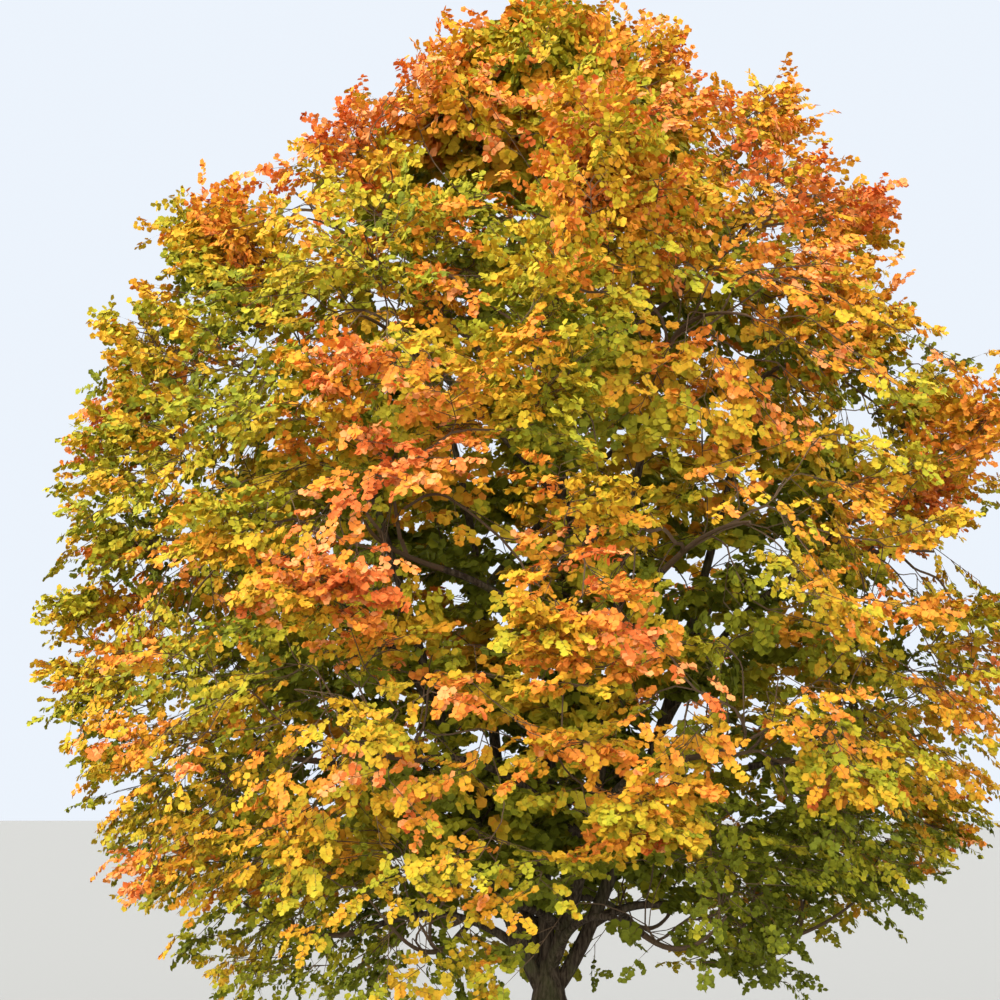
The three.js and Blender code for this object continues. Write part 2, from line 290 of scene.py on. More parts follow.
def curve_through(start, bend, end):
    """A course that leaves start towards bend and comes to end from it."""

    def point_at(along):
        along = np.asarray(along, dtype=float)[..., None]
        rest = 1.0 - along
        return rest * rest * start + 2.0 * rest * along * bend + along * along * end

    return point_at


def masses_of(tier):
    """The masses of one tier, evenly spaced round the leader."""
    top = tier is TIERS[-1]
    reach = float(egg_reach(tier.height, TREE_HEIGHT, SHOULDER_POWER))
    ring = TOP_RING if top else reach - tier.depth
    half = tier.depth if top else math.pi * ring / tier.count
    for number in range(tier.count):
        azimuth = (tier.turn + number * 360.0 / tier.count) % 360.0
        centre = heading(azimuth) * ring + UP * tier.height
        name = f"{tier.name}_foliage_{number + 1}"
        yield Mass(name, number, tier, azimuth, centre, half, top and number == 0)


def foot_of(mass):
    """Where a mass is entered: on its inner side, a little under its middle."""
    inset = heading(mass.azimuth) * FOOT_INSET * mass.tier.depth
    return mass.centre - inset - UP * FOOT_DROP * mass.tier.half


def limb_to(mass, name, azimuth, spread, root):
    """A limb opens out fast at the fork and then rises to its mass."""
    start = trunk_point(root)
    out = foot_of(mass) - start

    def point_at(along):
        along = np.asarray(along, dtype=float)[..., None]
        opened = along ** (LIMB_OPENING / spread)
        level = out * LEVEL * opened + out * UP * along
        return start + level + across(azimuth) * LIMB_SWAY * np.sin(2.0 * np.pi * along)

    return Branch(name, azimuth, point_at, (LIMB_ROOT_RADIUS, LIMB_TIP_RADIUS))


def bough_to(mass, limb):
    """A bough leaves the limb at its tier's height and arches to its mass."""
    leave = mass.tier.leave + FROM_STAGGER * (jitter(mass.number, mass.tier.count) * 2.0 - 1.0)
    low, high = limb.point_at(0.0)[2], limb.point_at(1.0)[2]
    start = limb.point_at((leave - low) / (high - low))
    end = foot_of(mass)
    length = np.linalg.norm(end - start)
    sway = BOUGH_SWAY * length * (jitter(mass.azimuth, BOUGH_SWAY_SEED) * 2.0 - 1.0)
    bend = start + (end - start) * BOUGH_BEND
    bend = bend + UP * 2.0 * mass.tier.arch * length + across(mass.azimuth) * 2.0 * sway
    name = mass.name.replace("foliage", "bough")
    radii = (BOUGH_ROOT_RADIUS, BOUGH_TIP_RADIUS)
    return Branch(name, mass.azimuth, curve_through(start, bend, end), radii)


def framework():
    """The masses, limbs and boughs of the frame, by the rule that it is made with."""
    masses = [mass for tier in TIERS for mass in masses_of(tier)]
    upper = [mass for mass in masses if mass.tier.name == "upper"]
    limbs = []
    for name, azimuth, spread, root in LIMB_PLACES:
        mass = min(upper, key=lambda item: turn_between(item.azimuth, azimuth))
        mass.carrier = limb_to(mass, name, azimuth, spread, root)
        limbs.append(mass.carrier)
    boughs = []
    for mass in masses:
        if mass.carrier is None and mass.tier.leave <= LEADER_ONLY_FROM:
            limb = min(limbs, key=lambda item: turn_between(item.azimuth, mass.azimuth))
            mass.carrier = bough_to(mass, limb)
            boughs.append(mass.carrier)
    return masses, limbs, boughs


MASSES, LIMBS, BOUGHS = framework()
CENTRES = np.array([mass.centre for mass in MASSES])


@dataclass(frozen=True)
class Swell:
    """A place where the crown reaches further out than its egg, or not so far."""

    place: tuple
    shift: float
    size: tuple


# The outline of the crown to the left and the right, from the top down
SWELLS = (
    Swell((0.25, 0.0, 11.1), 0.35, (1.8, 2.5, 0.3)),
    Swell((-2.2, 0.0, 10.75), -1.7, (0.8, 3.0, 0.4)),
    Swell((2.1, 0.0, 10.75), -0.3, (0.4, 2.0, 0.3)),
    Swell((-3.0, 0.0, 9.75), -1.0, (0.6, 3.0, 0.35)),
    Swell((-3.6, -0.3, 9.0), 0.5, (0.5, 1.0, 0.4)),
    Swell((2.9, 0.0, 9.9), -0.5, (0.3, 3.0, 0.3)),
    Swell((3.4, -0.2, 9.5), 0.45, (0.4, 0.8, 0.45)),
    Swell((-4.3, 0.0, 8.3), 0.35, (0.6, 1.5, 0.6)),
    Swell((4.0, 0.0, 8.15), -1.35, (0.8, 3.0, 0.6)),
    Swell((4.5, 0.0, 5.85), -1.9, (1.1, 3.5, 0.3)),
    Swell((-5.0, 0.0, 5.3), 0.15, (0.5, 1.0, 0.4)),
    Swell((-4.5, 0.0, 2.7), 0.08, (0.8, 2.0, 0.9)),
)
# Bunches of sprays on the crown's outline, from the top down on each side, and on its front
TUFTS = (
    (-3.75, -0.5, 9.3),
    (-3.6, -0.3, 9.05),
    (-3.5, -0.5, 8.9),
    (-3.3, -0.6, 9.0),
    (-2.25, -0.4, 10.0),
    (-1.2, -0.4, 10.8),
    (-1.05, 0.0, 11.0),
    (-0.45, -0.2, 11.15),
    (1.5, -0.2, 10.85),
    (0.85, 0.1, 11.1),
    (0.1, 0.1, 11.42),
    (2.6, 0.0, 10.5),
    (3.35, 0.0, 9.6),
    (3.6, -0.3, 8.4),
    (4.2, 0.0, 7.65),
    (4.3, -0.4, 6.9),
    (-4.4, 0.0, 8.3),
    (-4.6, 0.2, 7.6),
    (-4.8, 0.0, 7.0),
    (-4.65, -0.3, 6.1),
    (-5.05, 0.0, 5.35),
    (-4.9, -0.2, 4.7),
    (-1.15, -3.0, 8.45),
    (-3.0, -3.65, 5.85),
    (-2.1, -4.1, 7.1),
    (-2.1, -4.4, 5.4),
    (2.7, -3.6, 3.8),
    (0.9, -4.4, 3.4),
)
LEAFY_TOP = 11.5
LEAFY_SHOULDER_POWER = 0.7
SKIRT_TILT = 0.13


def leafy_reach(points):
    """How far out the leaves go towards each point. The skirt is lower on the right."""
    x, _, z = points.T
    raised = np.where(z > CROWN_WAIST, z, z - SKIRT_TILT * np.maximum(x, 0.0))
    reach = egg_reach(raised, LEAFY_TOP, LEAFY_SHOULDER_POWER)
    for swell in SWELLS:
        away = (points - swell.place) / swell.size
        reach += swell.shift * np.exp(-(away**2).sum(axis=1))
    return reach


def nearest_mass(place):
    """The number of the mass whose middle is nearest to a place."""
    return int(np.argmin(np.linalg.norm(CENTRES - place, axis=1)))


def nearest_middle(number, points):
    """True for each point that is nearer to this mass's middle than to any other."""
    others = np.delete(CENTRES, number, axis=0)
    apart = others - CENTRES[number]
    between = (others + CENTRES[number]) / 2.0
    beyond = np.einsum("pmk,mk->pm", points[:, None, :] - between, unit(apart))
    return (beyond < -SPACE_GAP).all(axis=1)


def in_crown(points, slack):
    """True for each point above the crown's base and inside its leafy reach, give or take slack."""
    x, y, z = points.T
    return (z > CROWN_BASE) & (np.hypot(x, y) < leafy_reach(points) + slack)


def stem_of(mass):
    """The course of a mass's stem: on from its carrier's tip, or out of the leader's side."""
    end = mass.centre + heading(mass.azimuth) * STEM_OVERSHOOT * mass.tier.depth
    if mass.carrier is not None:
        start = mass.carrier.point_at(1.0)
        leaving = unit(start - mass.carrier.point_at(1.0 - CARRIER_STEP))
    elif mass.topmost:
        start = trunk_point(LEADER_TOP)
        leaving = unit(start - trunk_point(LEADER_TOP - LEADER_STEP))
    else:
        start = trunk_point(mass.tier.leave + FROM_STAGGER * mass.number)
        leaving = unit(end - start + UP * mass.tier.arch * np.linalg.norm(end - start))
    bend = start + leaving * STEM_BEND * np.linalg.norm(end - start)
    return curve_through(start, bend, end)


def arms_of(mass, count, seed):
    """Ways that the sprays of a mass point, spread evenly over its egg by the golden angle."""
    first = 2.0 * math.pi * jitter(mass.azimuth + seed, mass.tier.height * MILLIMETRES)
    arms = [] if seed else [heading(mass.azimuth) * mass.tier.depth]
    for number in range(count):
        rise = 1.0 - 2.0 * (number + 0.5) / count
        level = math.sqrt(1.0 - rise * rise)
        turn = first + GOLDEN_ANGLE * number
        if math.cos(turn) * level > INWARD_SKIP:
            arms.append(
                heading(mass.azimuth) * math.cos(turn) * level * mass.tier.depth
                + across(mass.azimuth) * math.sin(turn) * level * mass.half
                + UP * rise * mass.tier.half
            )
    return arms


# Tables with an array for each column. Owners are the numbers of masses, and bearers the rows of
# the sprays or twigs that bear these. A spray that stands out may pass the crown's outline.
Sprays = namedtuple("Sprays", "necks forwards sides flats lengths owners stand_out")
Twigs = namedtuple("Twigs", "starts ends flats owners bearers")
Leaves = namedtuple("Leaves", "feet forwards sides flats lengths ripeness owners")


def table_of(rows):
    """The sprays of a list of rows, as one table."""
    return Sprays(*(np.array(column) for column in zip(*rows)))


def stacked(tables):
    """Several tables of one kind as one."""
    return type(tables[0])(*(np.concatenate(columns) for columns in zip(*tables)))


def picked(table, kept):
    """The rows of a table that are kept."""
    return type(table)(*(column[kept] for column in table))


# What changes with height has four numbers: its value low down, its gain, and between which heights
FLATNESS = (1.0, -0.6, 4.0, 9.0)
# How much less a level spray faces outward, and along its arm
FLAT_TURN = 0.7
FLAT_FACING = 0.6


def flatness_at(height):
    """How level the sprays lie: 1 low in the crown, less towards its top."""
    return graded(height, *FLATNESS)


def facing_of(outward, flatness):
    """Where the flat of a spray should face: up, and outward too where sprays climb."""
    return outward * (1.0 - FLAT_TURN * flatness) + UP * (1.0 + flatness)


def spray_at(number, root, arm, draws, length, slack):
    """Draws a spray in along its arm until its outline is in the crown and in its mass's space."""
    mass = MASSES[number]
    flatness = flatness_at(mass.centre[2])
    wanted = facing_of(heading(mass.azimuth), flatness)
    wanted = wanted + unit(arm) * SPRAY_FACING * (1.0 - FLAT_FACING * flatness)
    tips = mass.centre + draws[:, None] * arm
    forwards = unit(unit(tips - root) - UP * SPRAY_DROOP * flatness)
    flats = unit(wanted - forwards * (forwards @ wanted)[:, None])
    sides = np.cross(flats, forwards)
    necks = tips - forwards * length
    middles = necks[:, None, :] + SPRAY_OUTLINE[None, :, :1] * forwards[:, None, :] * length
    widths = SPRAY_OUTLINE[None, :, 1:] * sides[:, None, :] * length
    outline = np.concatenate((middles + widths, middles - widths), axis=1)
    points = outline.reshape(-1, 3)
    fits = (nearest_middle(number, points) & in_crown(points, slack)).reshape(len(draws), -1)
    fitting = np.flatnonzero(fits.all(axis=1))
    if len(fitting) == 0:
        return None
    first = fitting[0]
    return necks[first], forwards[first], sides[first], flats[first], length, number, False


def spray_to(tip, way, length, stands_out=False):
    """A spray that comes to a tip in a way of its own, for the mass whose middle is nearest."""
    wanted = facing_of(unit(tip * LEVEL), flatness_at(tip[2]))
    forward = unit(way)
    flat = unit(wanted - forward * (forward @ wanted))
    neck = tip - forward * length
    return neck, forward, np.cross(flat, forward), flat, length, nearest_mass(neck), stands_out


def middle_of(row):
    """The middle of a spray."""
    neck, forward, _, _, length, _, _ = row
    return neck + forward * length / 2.0


COVER_LOW = CROWN_BASE + 0.4
COVER_HEIGHT = TREE_HEIGHT - CROWN_BASE - 0.9
COVER_DEPTHS = (0.8, 1.0)
COVER_RISE = (-0.3, 1.4, 3.5, 10.5)
COVER_CROWDING = (0.72, 0.28, 3.0, 6.0)
COVER_SPREAD = 0.2
COVER_LENGTHS = (0.8, 1.1)


def cover_sprays(others, crown, rng):
    """Sprays tried evenly over the crown and set wherever no other spray is near."""
    rows = []
    middles = [middle_of(row) for row in others]
    for number in range(crown.cover_sprays):
        height = COVER_LOW + COVER_HEIGHT * (number + 0.5) / crown.cover_sprays
        outward = heading(math.degrees(GOLDEN_ANGLE) * number)
        reach = float(leafy_reach((outward * CROWN_RADIUS + UP * height)[None, :])[0])
        tip = outward * reach * rng.uniform(*COVER_DEPTHS) + UP * height
        way = outward + UP * graded(height, *COVER_RISE) + rng.normal(0.0, COVER_SPREAD, 3)
        row = spray_to(tip, way, crown.finer_spray_length * rng.uniform(*COVER_LENGTHS))
        spacing = crown.cover_spacing * graded(height, *COVER_CROWDING)
        if np.linalg.norm(np.array(middles) - middle_of(row), axis=1).min() > spacing:
            rows.append(row)
            middles.append(middle_of(row))
    return rows


TUFT_DROP = 0.35
TUFT_SCATTER = 0.13
TUFT_INSET = 0.25
TUFT_SLOPE = 0.3
TUFT_RISE = (-0.2, 1.5, 3.0, 10.0)
TUFT_SPREAD = 0.35
TUFT_LENGTHS = (0.6, 0.9)


def tuft_sprays(crown, rng):
    """Small sprays in bunches that stand out of the outline, at each place and a quarter turn on."""
    rows = []
    for x, y, height in TUFTS:
        for top in (np.array((x, y, height)), np.array((-y, x, height))):
            outward = unit(top * LEVEL)
            for _ in range(crown.tuft_sprays):
                drop = abs(rng.normal(0.0, TUFT_DROP))
                inset = TUFT_INSET + TUFT_SLOPE * drop
                tip = top + rng.normal(0.0, TUFT_SCATTER, 3) - UP * drop - outward * inset
                way = outward + UP * graded(tip[2], *TUFT_RISE) + rng.normal(0.0, TUFT_SPREAD, 3)
                length = crown.inner_spray_length * rng.uniform(*TUFT_LENGTHS)
                rows.append(spray_to(tip, way, length, stands_out=True))
    return rows


# How far the tips of each kind of spray stay inside the crown, or pass it
MAIN_SLACK = (-0.1, 0.15)
MOST_FINER_SLACK = 0.1


def mass_sprays(number, crown, rng):
    """The sprays of the frame's rule for one mass, shorter ones between them and inner ones."""
    mass = MASSES[number]
    stem = stem_of(mass)
    whole = np.arange(FURTHEST_DRAW, LEAST_DRAW, -DRAW_STEP)
    inner = np.arange(crown.inner_draw, LEAST_DRAW / 2.0, -DRAW_STEP)
    rows = []
    for count, seed, draws, length, least, most in (
        (SPRIG_COUNT, 0, whole, SPRAY_LENGTH, *MAIN_SLACK),
        (crown.finer_sprays, 1, whole, crown.finer_spray_length, -crown.tuft_depth, MOST_FINER_SLACK),
        (crown.inner_sprays, 2, inner, crown.inner_spray_length, 0.0, 0.0),
    ):
        for turn, arm in enumerate(arms_of(mass, count, seed)):
            share = SPRIG_FROM + SPRIG_RUN * ((GOLDEN_STEP * (turn + 1)) % 1.0)
            slack = rng.uniform(least, most)
            rows.append(spray_at(number, stem(share), arm, draws, length, slack))
    return [row for row in rows if row is not None]


def leader_point(share):
    """The middle of the trunk and its leader, at a share of the leader's height."""
    return trunk_point(share * LEADER_TOP)


def wood_courses():
    """The courses of the limbs and of the leader."""
    return [limb.point_at for limb in LIMBS] + [leader_point]


BORNE_FROM = 0.12
BORNE_RUN = 0.86
BORNE_TURN = 70.0
BORNE_RISE = 0.3
BORNE_STALKS = (0.2, 0.7)
BORNE_TILT = 0.2
BORNE_LENGTHS = (0.8, 1.2)


def wood_sprays(crown, rng):
    """Short sprays that the limbs and the leader bear themselves, inside the crown."""
    rows = []
    for course_number, course in enumerate(wood_courses()):
        for number in range(crown.wood_sprays):
            share = BORNE_FROM + BORNE_RUN * (number + rng.uniform(0.0, 1.0)) / crown.wood_sprays
            turn = math.degrees(GOLDEN_ANGLE) * number + BORNE_TURN * course_number
            way = unit(heading(turn) + UP * BORNE_RISE)
            neck = course(share) + way * rng.uniform(*BORNE_STALKS)
            flat = unit(UP - way * way[2] + rng.normal(0.0, BORNE_TILT, 3))
            flat = unit(flat - way * (flat @ way))
            length = crown.inner_spray_length * rng.uniform(*BORNE_LENGTHS)
            if neck[2] > crown.clear_stem:
                rows.append((neck, way, np.cross(flat, way), flat, length, nearest_mass(neck), False))
    return table_of(rows)


TWIG_KNOTS = 4
TWIG_RUN_COST = 0.35
TWIG_BEND_COST = 0.25
TWIG_RADIUS = 0.0065
TWIG_PIPE_POWER = 0.42
TWIG_MOST_SHARE = 0.8


@dataclass
class Wood:
    """The knots of wood that bears sprays: where, which way, how far along, from which, how laden."""

    points: list
    ways: list
    runs: list
    parents: list
    loads: list

    @classmethod
    def along(cls, courses, shares):
        """The knots at the same shares of each course, with nothing borne yet."""
        wood = cls([], [], [], [], [])
        for course in courses:
            places = [course(share) for share in shares]
            run = 0.0
            for number, place in enumerate(places):
                before = places[max(number - 1, 0)]
                after = places[min(number + 1, len(places) - 1)]
                run += float(np.linalg.norm(place - before))
                wood.add(place, unit(after - before), run, -1)
        return wood

    def add(self, point, way, run, parent):
        """Adds one knot, with the knot that it grows from, or -1."""
        self.points.append(point)
        self.ways.append(way)
        self.runs.append(run)
        self.parents.append(parent)
        self.loads.append(0)

    def bear(self, neck, forward):
        """Grows a twig to a neck out of the knot from which the way is shortest and straightest."""
        reach = neck - np.array(self.points)
        length = np.linalg.norm(reach, axis=1)
        bend = 1.0 - (unit(reach) * np.array(self.ways)).sum(axis=1)
        knot = int(np.argmin(length + TWIG_RUN_COST * np.array(self.runs) + TWIG_BEND_COST * bend))
        start, leaving = self.points[knot], unit(self.ways[knot] + unit(reach[knot]))
        far = float(length[knot])
        parent = knot
        for step in range(1, TWIG_KNOTS + 1):
            share = step / TWIG_KNOTS
            left = 1.0 - share
            inward = start + leaving * far / 3.0
            outward = neck - forward * far / 3.0
            point = left**3 * start + 3.0 * left**2 * share * inward
            point = point + 3.0 * left * share**2 * outward + share**3 * neck
            way = unit(point - self.points[parent])
            self.add(point, way, self.runs[knot] + far * share, parent)
            parent = len(self.points) - 1
        while parent >= 0:
            self.loads[parent] += 1
            parent = self.parents[parent]

    def twigs(self):
        """Starts, ends and radii of all twigs that have grown, thicker the more they carry."""
        rows = [row for row, parent in enumerate(self.parents) if parent >= 0]
        starts = np.array([self.points[self.parents[row]] for row in rows])
        ends = np.array([self.points[row] for row in rows])
        loads = np.array([self.loads[row] for row in rows], dtype=float)
        most = BOUGH_TIP_RADIUS * TWIG_MOST_SHARE
        radii = np.minimum(TWIG_RADIUS * loads**TWIG_PIPE_POWER, most)
        return starts, ends, radii


# The knots on a mass's stem and on a limb: from and to which share of its course, and how many
STEM_KNOTS = (0.1, 1.0, 10)
LIMB_KNOTS = (0.25, 1.0, 26)


def spray_groups(crown, rng):
    """The sprays of each mass with its stem, and those that the limbs and the leader bear."""
    rows = tuft_sprays(crown, rng)
    for number in range(len(MASSES)):
        rows += mass_sprays(number, crown, rng)
    rows += cover_sprays(rows, crown, rng)
    groups = []
    for number, mass in enumerate(MASSES):
        stem = Wood.along([stem_of(mass)], np.linspace(*STEM_KNOTS))
        groups.append((table_of([row for row in rows if row[-2] == number]), stem))
    limbs = Wood.along(wood_courses(), np.linspace(*LIMB_KNOTS))
    groups.append((wood_sprays(crown, rng), limbs))
    return groups


def grown_wood(groups, sprays, twigs):
    """Grows wood to all sprays that bear side twigs, nearest first, and their middle twigs."""
    along = ((twigs.starts - sprays.necks[twigs.bearers]) * sprays.forwards[twigs.bearers]).sum(axis=1)
    furthest = np.zeros(len(sprays.necks))
    np.maximum.at(furthest, twigs.bearers, along)
    first = 0
    for table, wood in groups:
        near = np.array(wood.points)
        apart = np.linalg.norm(table.necks[:, None, :] - near, axis=2).min(axis=1)
        for row in np.argsort(apart):
            if furthest[first + row] > 0.0:
                wood.bear(table.necks[row], table.forwards[row])
        first += len(table.necks)
    bearing = furthest > 0.0
    starts = sprays.necks[bearing]
    ends = starts + sprays.forwards[bearing] * furthest[bearing, None]
    return [wood for _, wood in groups], (starts, ends)


def opened(ways, opening, hand, tilt, droop):
    """Ways that open to the left or right of others, tilt out of their flat and hang a little."""
    forwards, sides, flats = (way[:, None, :] for way in ways)
    return unit(
        forwards * np.cos(opening)[..., None]
        + sides * (hand * np.sin(opening))[..., None]
        + flats * tilt[..., None]
        - UP * droop
    )


SIDE_RUN = 0.95
SIDE_STEPS = (0.1, 0.9)
SIDE_OPENING = 58.0
SIDE_CLOSING = 22.0
SIDE_SPREAD = (-10.0, 10.0)
SIDE_FLATTENING = 0.35
SIDE_DROOP = 0.12
SIDE_LENGTHS = (0.75, 1.2)
LEAST_HALF_WIDTH = 0.08


def side_twigs(sprays, crown, rng):
    """Side twigs leave a spray's middle twig left and right, as long as its outline is wide."""
    rows = len(sprays.necks)
    count = crown.side_twigs
    share = SIDE_RUN / count * (np.arange(count) + rng.uniform(*SIDE_STEPS, (rows, count)))
    lengths = sprays.lengths[:, None]
    starts = sprays.necks[:, None, :] + sprays.forwards[:, None, :] * (share * lengths)[..., None]
    half_width = np.interp(share, *SPRAY_OUTLINE.T) * lengths + LEAST_HALF_WIDTH
    opening = SIDE_OPENING - SIDE_CLOSING * share + rng.uniform(*SIDE_SPREAD, share.shape)
    opening = np.radians(opening)
    hand = np.where(np.arange(count) % 2, 1.0, -1.0)
    flatness = np.array([flatness_at(height) for height in sprays.necks[:, 2]])
    tilt = rng.normal(0.0, crown.spray_thickness, share.shape)
    tilt *= (1.0 - SIDE_FLATTENING * flatness)[:, None]
    ways = (sprays.forwards, sprays.sides, sprays.flats)
    way = opened(ways, opening, hand, tilt, SIDE_DROOP)
    reach = half_width / np.sin(opening) * rng.uniform(*SIDE_LENGTHS, share.shape)
    ends = starts + way * reach[..., None]
    bearers = np.repeat(np.arange(rows), count)
    borne_by = (sprays.flats[bearers], sprays.owners[bearers], bearers)
    return Twigs(starts.reshape(-1, 3), ends.reshape(-1, 3), *borne_by)


SHOOT_STEPS = (0.3, 0.9)
SHOOT_OPENINGS = (38.0, 62.0)
SHOOT_TILT = 0.3
SHOOT_DROOP = 0.1
SHOOT_LENGTHS = (0.7, 1.25)
END_DROOP = 0.15
END_LENGTHS = (0.7, 1.2)


def shoots_of(twigs, crown, rng):
    """Shoots leave a side twig by turns to both sides, and one goes on from its end."""
    rows = len(twigs.starts)
    along = twigs.ends - twigs.starts
    way = unit(along)
    sideways = unit(np.cross(twigs.flats, way))
    most = crown.most_shoots
    wanted = np.linalg.norm(along, axis=1) / crown.shoot_spacing
    wanted = np.clip(np.round(wanted), 0, most).astype(int)
    number = np.arange(most)
    kept = number[None, :] < wanted[:, None]
    share = number[None, :] + rng.uniform(*SHOOT_STEPS, (rows, most))
    share /= np.maximum(wanted, 1)[:, None]
    hand = np.where((number + np.arange(rows)[:, None]) % 2, 1.0, -1.0)
    opening = np.radians(rng.uniform(*SHOOT_OPENINGS, (rows, most)))
    tilt = rng.normal(0.0, SHOOT_TILT, (rows, most))
    shoot_way = opened((way, sideways, twigs.flats), opening, hand, tilt, SHOOT_DROOP)
    starts = twigs.starts[:, None, :] + along[:, None, :] * share[..., None]
    reach = crown.shoot_length * rng.uniform(*SHOOT_LENGTHS, (rows, most))
    ends = starts + shoot_way * reach[..., None]
    end_way = unit(way - UP * END_DROOP) * crown.shoot_length
    end_tips = twigs.ends + end_way * rng.uniform(*END_LENGTHS, (rows, 1))
    bearers = np.concatenate((np.nonzero(kept)[0], np.arange(rows)))
    return Twigs(
        np.concatenate((starts[kept], twigs.ends)),
        np.concatenate((ends[kept], end_tips)),
        twigs.flats[bearers],
        twigs.owners[bearers],
        bearers,
    )


LEAF_TWIST = 0.35
PAIR_FROM = 0.7
PAIR_SHIFT = (-0.08, 0.08)
FIRST_LEAF = 0.05
LEAF_LEAN = 0.45
LEAF_DROOPS = (0.4, 1.6)
LEAF_SPREAD = 0.3
LEAF_LENGTHS = (0.7, 1.15)
SHADE_DEPTHS = (0.4, 0.75)


def leaves_of(shoots, ripeness, crown, rng):
    """Leaves in opposite pairs along each shoot, and one at its end, that hang a little."""
    rows = len(shoots.starts)
    pairs = crown.leaf_pairs
    count = 2 * pairs + 1
    along = shoots.ends - shoots.starts
    way = unit(along)
    flat = unit(shoots.flats + rng.normal(0.0, LEAF_TWIST, (rows, 3)))
    sideways = unit(np.cross(flat, way))
    share = np.concatenate((np.repeat((np.arange(pairs) + PAIR_FROM) / pairs, 2), (1.0,)))
    share = np.clip(share + rng.uniform(*PAIR_SHIFT, (rows, count)), FIRST_LEAF, 1.0)
    hand = np.concatenate((np.tile((1.0, -1.0), pairs), (0.0,)))
    ahead = np.where(hand == 0.0, 1.0, LEAF_LEAN)
    droop = crown.leaf_droop * rng.uniform(*LEAF_DROOPS, (rows, count))
    forward = unit(
        way[:, None, :] * ahead[None, :, None]
        + sideways[:, None, :] * hand[None, :, None]
        - UP * droop[..., None]
        + rng.normal(0.0, LEAF_SPREAD, (rows, count, 3))
    )
    outward = unit(shoots.ends * LEVEL) * crown.leaf_outward
    facing = (flat + outward)[:, None, :] + rng.normal(0.0, crown.leaf_flutter, (rows, count, 3))
    facing = unit(facing - forward * (facing * forward).sum(axis=-1, keepdims=True))
    feet = shoots.starts[:, None, :] + along[:, None, :] * share[..., None]
    shade = 1.0 - smoothstep(outness(shoots.ends), *SHADE_DEPTHS)
    lengths = crown.leaf_length * rng.uniform(*LEAF_LENGTHS, (rows, count))
    lengths *= 1.0 + crown.shade_growth * shade[:, None]
    ripe_and_painted_light = ripeness[:, None] + rng.normal(0.0, crown.leaf_ripeness_spread, (rows, count))
    leaves = Leaves(
        feet.reshape(-1, 3),
        forward.reshape(-1, 3),
        np.cross(facing, forward).reshape(-1, 3),
        facing.reshape(-1, 3),
        lengths.ravel(),
        ripe_and_painted_light.ravel(),
        np.repeat(shoots.owners, count),
    )
    tips = leaves.feet + leaves.forwards * leaves.lengths[:, None]
    return picked(leaves, in_box(tips))


BOX_MARGIN = np.array((0.2, 0.2, 0.29))


def in_box(points):
    """True for each point that stays within the frame's own reach, or very near to it."""
    return ((points > FRAME_LOW - BOX_MARGIN) & (points < FRAME_HIGH + BOX_MARGIN)).all(axis=1)


# The leaves lie in shelves with gaps between them. Low shelves are level and high ones rise inward.
SHELF_WIDTH = 1.0
SHELF_HEIGHT = 0.46
LOW_SHELF_RISE = -0.1
HIGH_SHELF_RISE = 0.9
SHELF_WAVE = 0.7
SHELF_WAVE_WIDTH = 2.6
SHELF_CHANGE = (4.5, 10.0)
SHELF_PLACE = np.array((22.9, 21.1, 30.5))
INNER_FILL = 0.4
INNER_DEPTHS = (0.5, 0.85)
LEAST_REACH = 0.5
TINT_WIDTH = 1.5
TINT_HEIGHT = 0.6


def outness(points):
    """How far out each point is, as a share of the crown's leafy reach there."""
    x, y, _ = points.T
    return np.hypot(x, y) / np.maximum(leafy_reach(points), LEAST_REACH)


def shelf_noise(points, width, height):
    """Smooth noise from -1 to 1 in flat patches of this width and height that lie as shelves do."""
    x, y, z = points.T
    rise = LOW_SHELF_RISE + (HIGH_SHELF_RISE - LOW_SHELF_RISE) * smoothstep(z, *SHELF_CHANGE)
    wave = np.array([noise.noise(Vector(point) / SHELF_WAVE_WIDTH) for point in points])
    level = z - rise * np.hypot(x, y) + SHELF_WAVE * wave
    places = np.stack((x / width, y / width, level / height), axis=1) + SHELF_PLACE
    return np.array([noise.noise(Vector(place)) for place in places])


@dataclass(frozen=True)
class Patch:
    """A part of the crown that differs from what lies round it by a shift that fades outward."""

    place: tuple
    reach: float
    shift: float

    def shifts(self, points):
        """By how much each point is shifted."""
        away = np.linalg.norm(points - self.place, axis=1)
        return self.shift * np.exp(-((away / self.reach) ** 2))


def patches(*rows):
    """Patches from rows of x, y, z, reach and shift."""
    return [Patch(row[:3], *row[3:]) for row in rows]


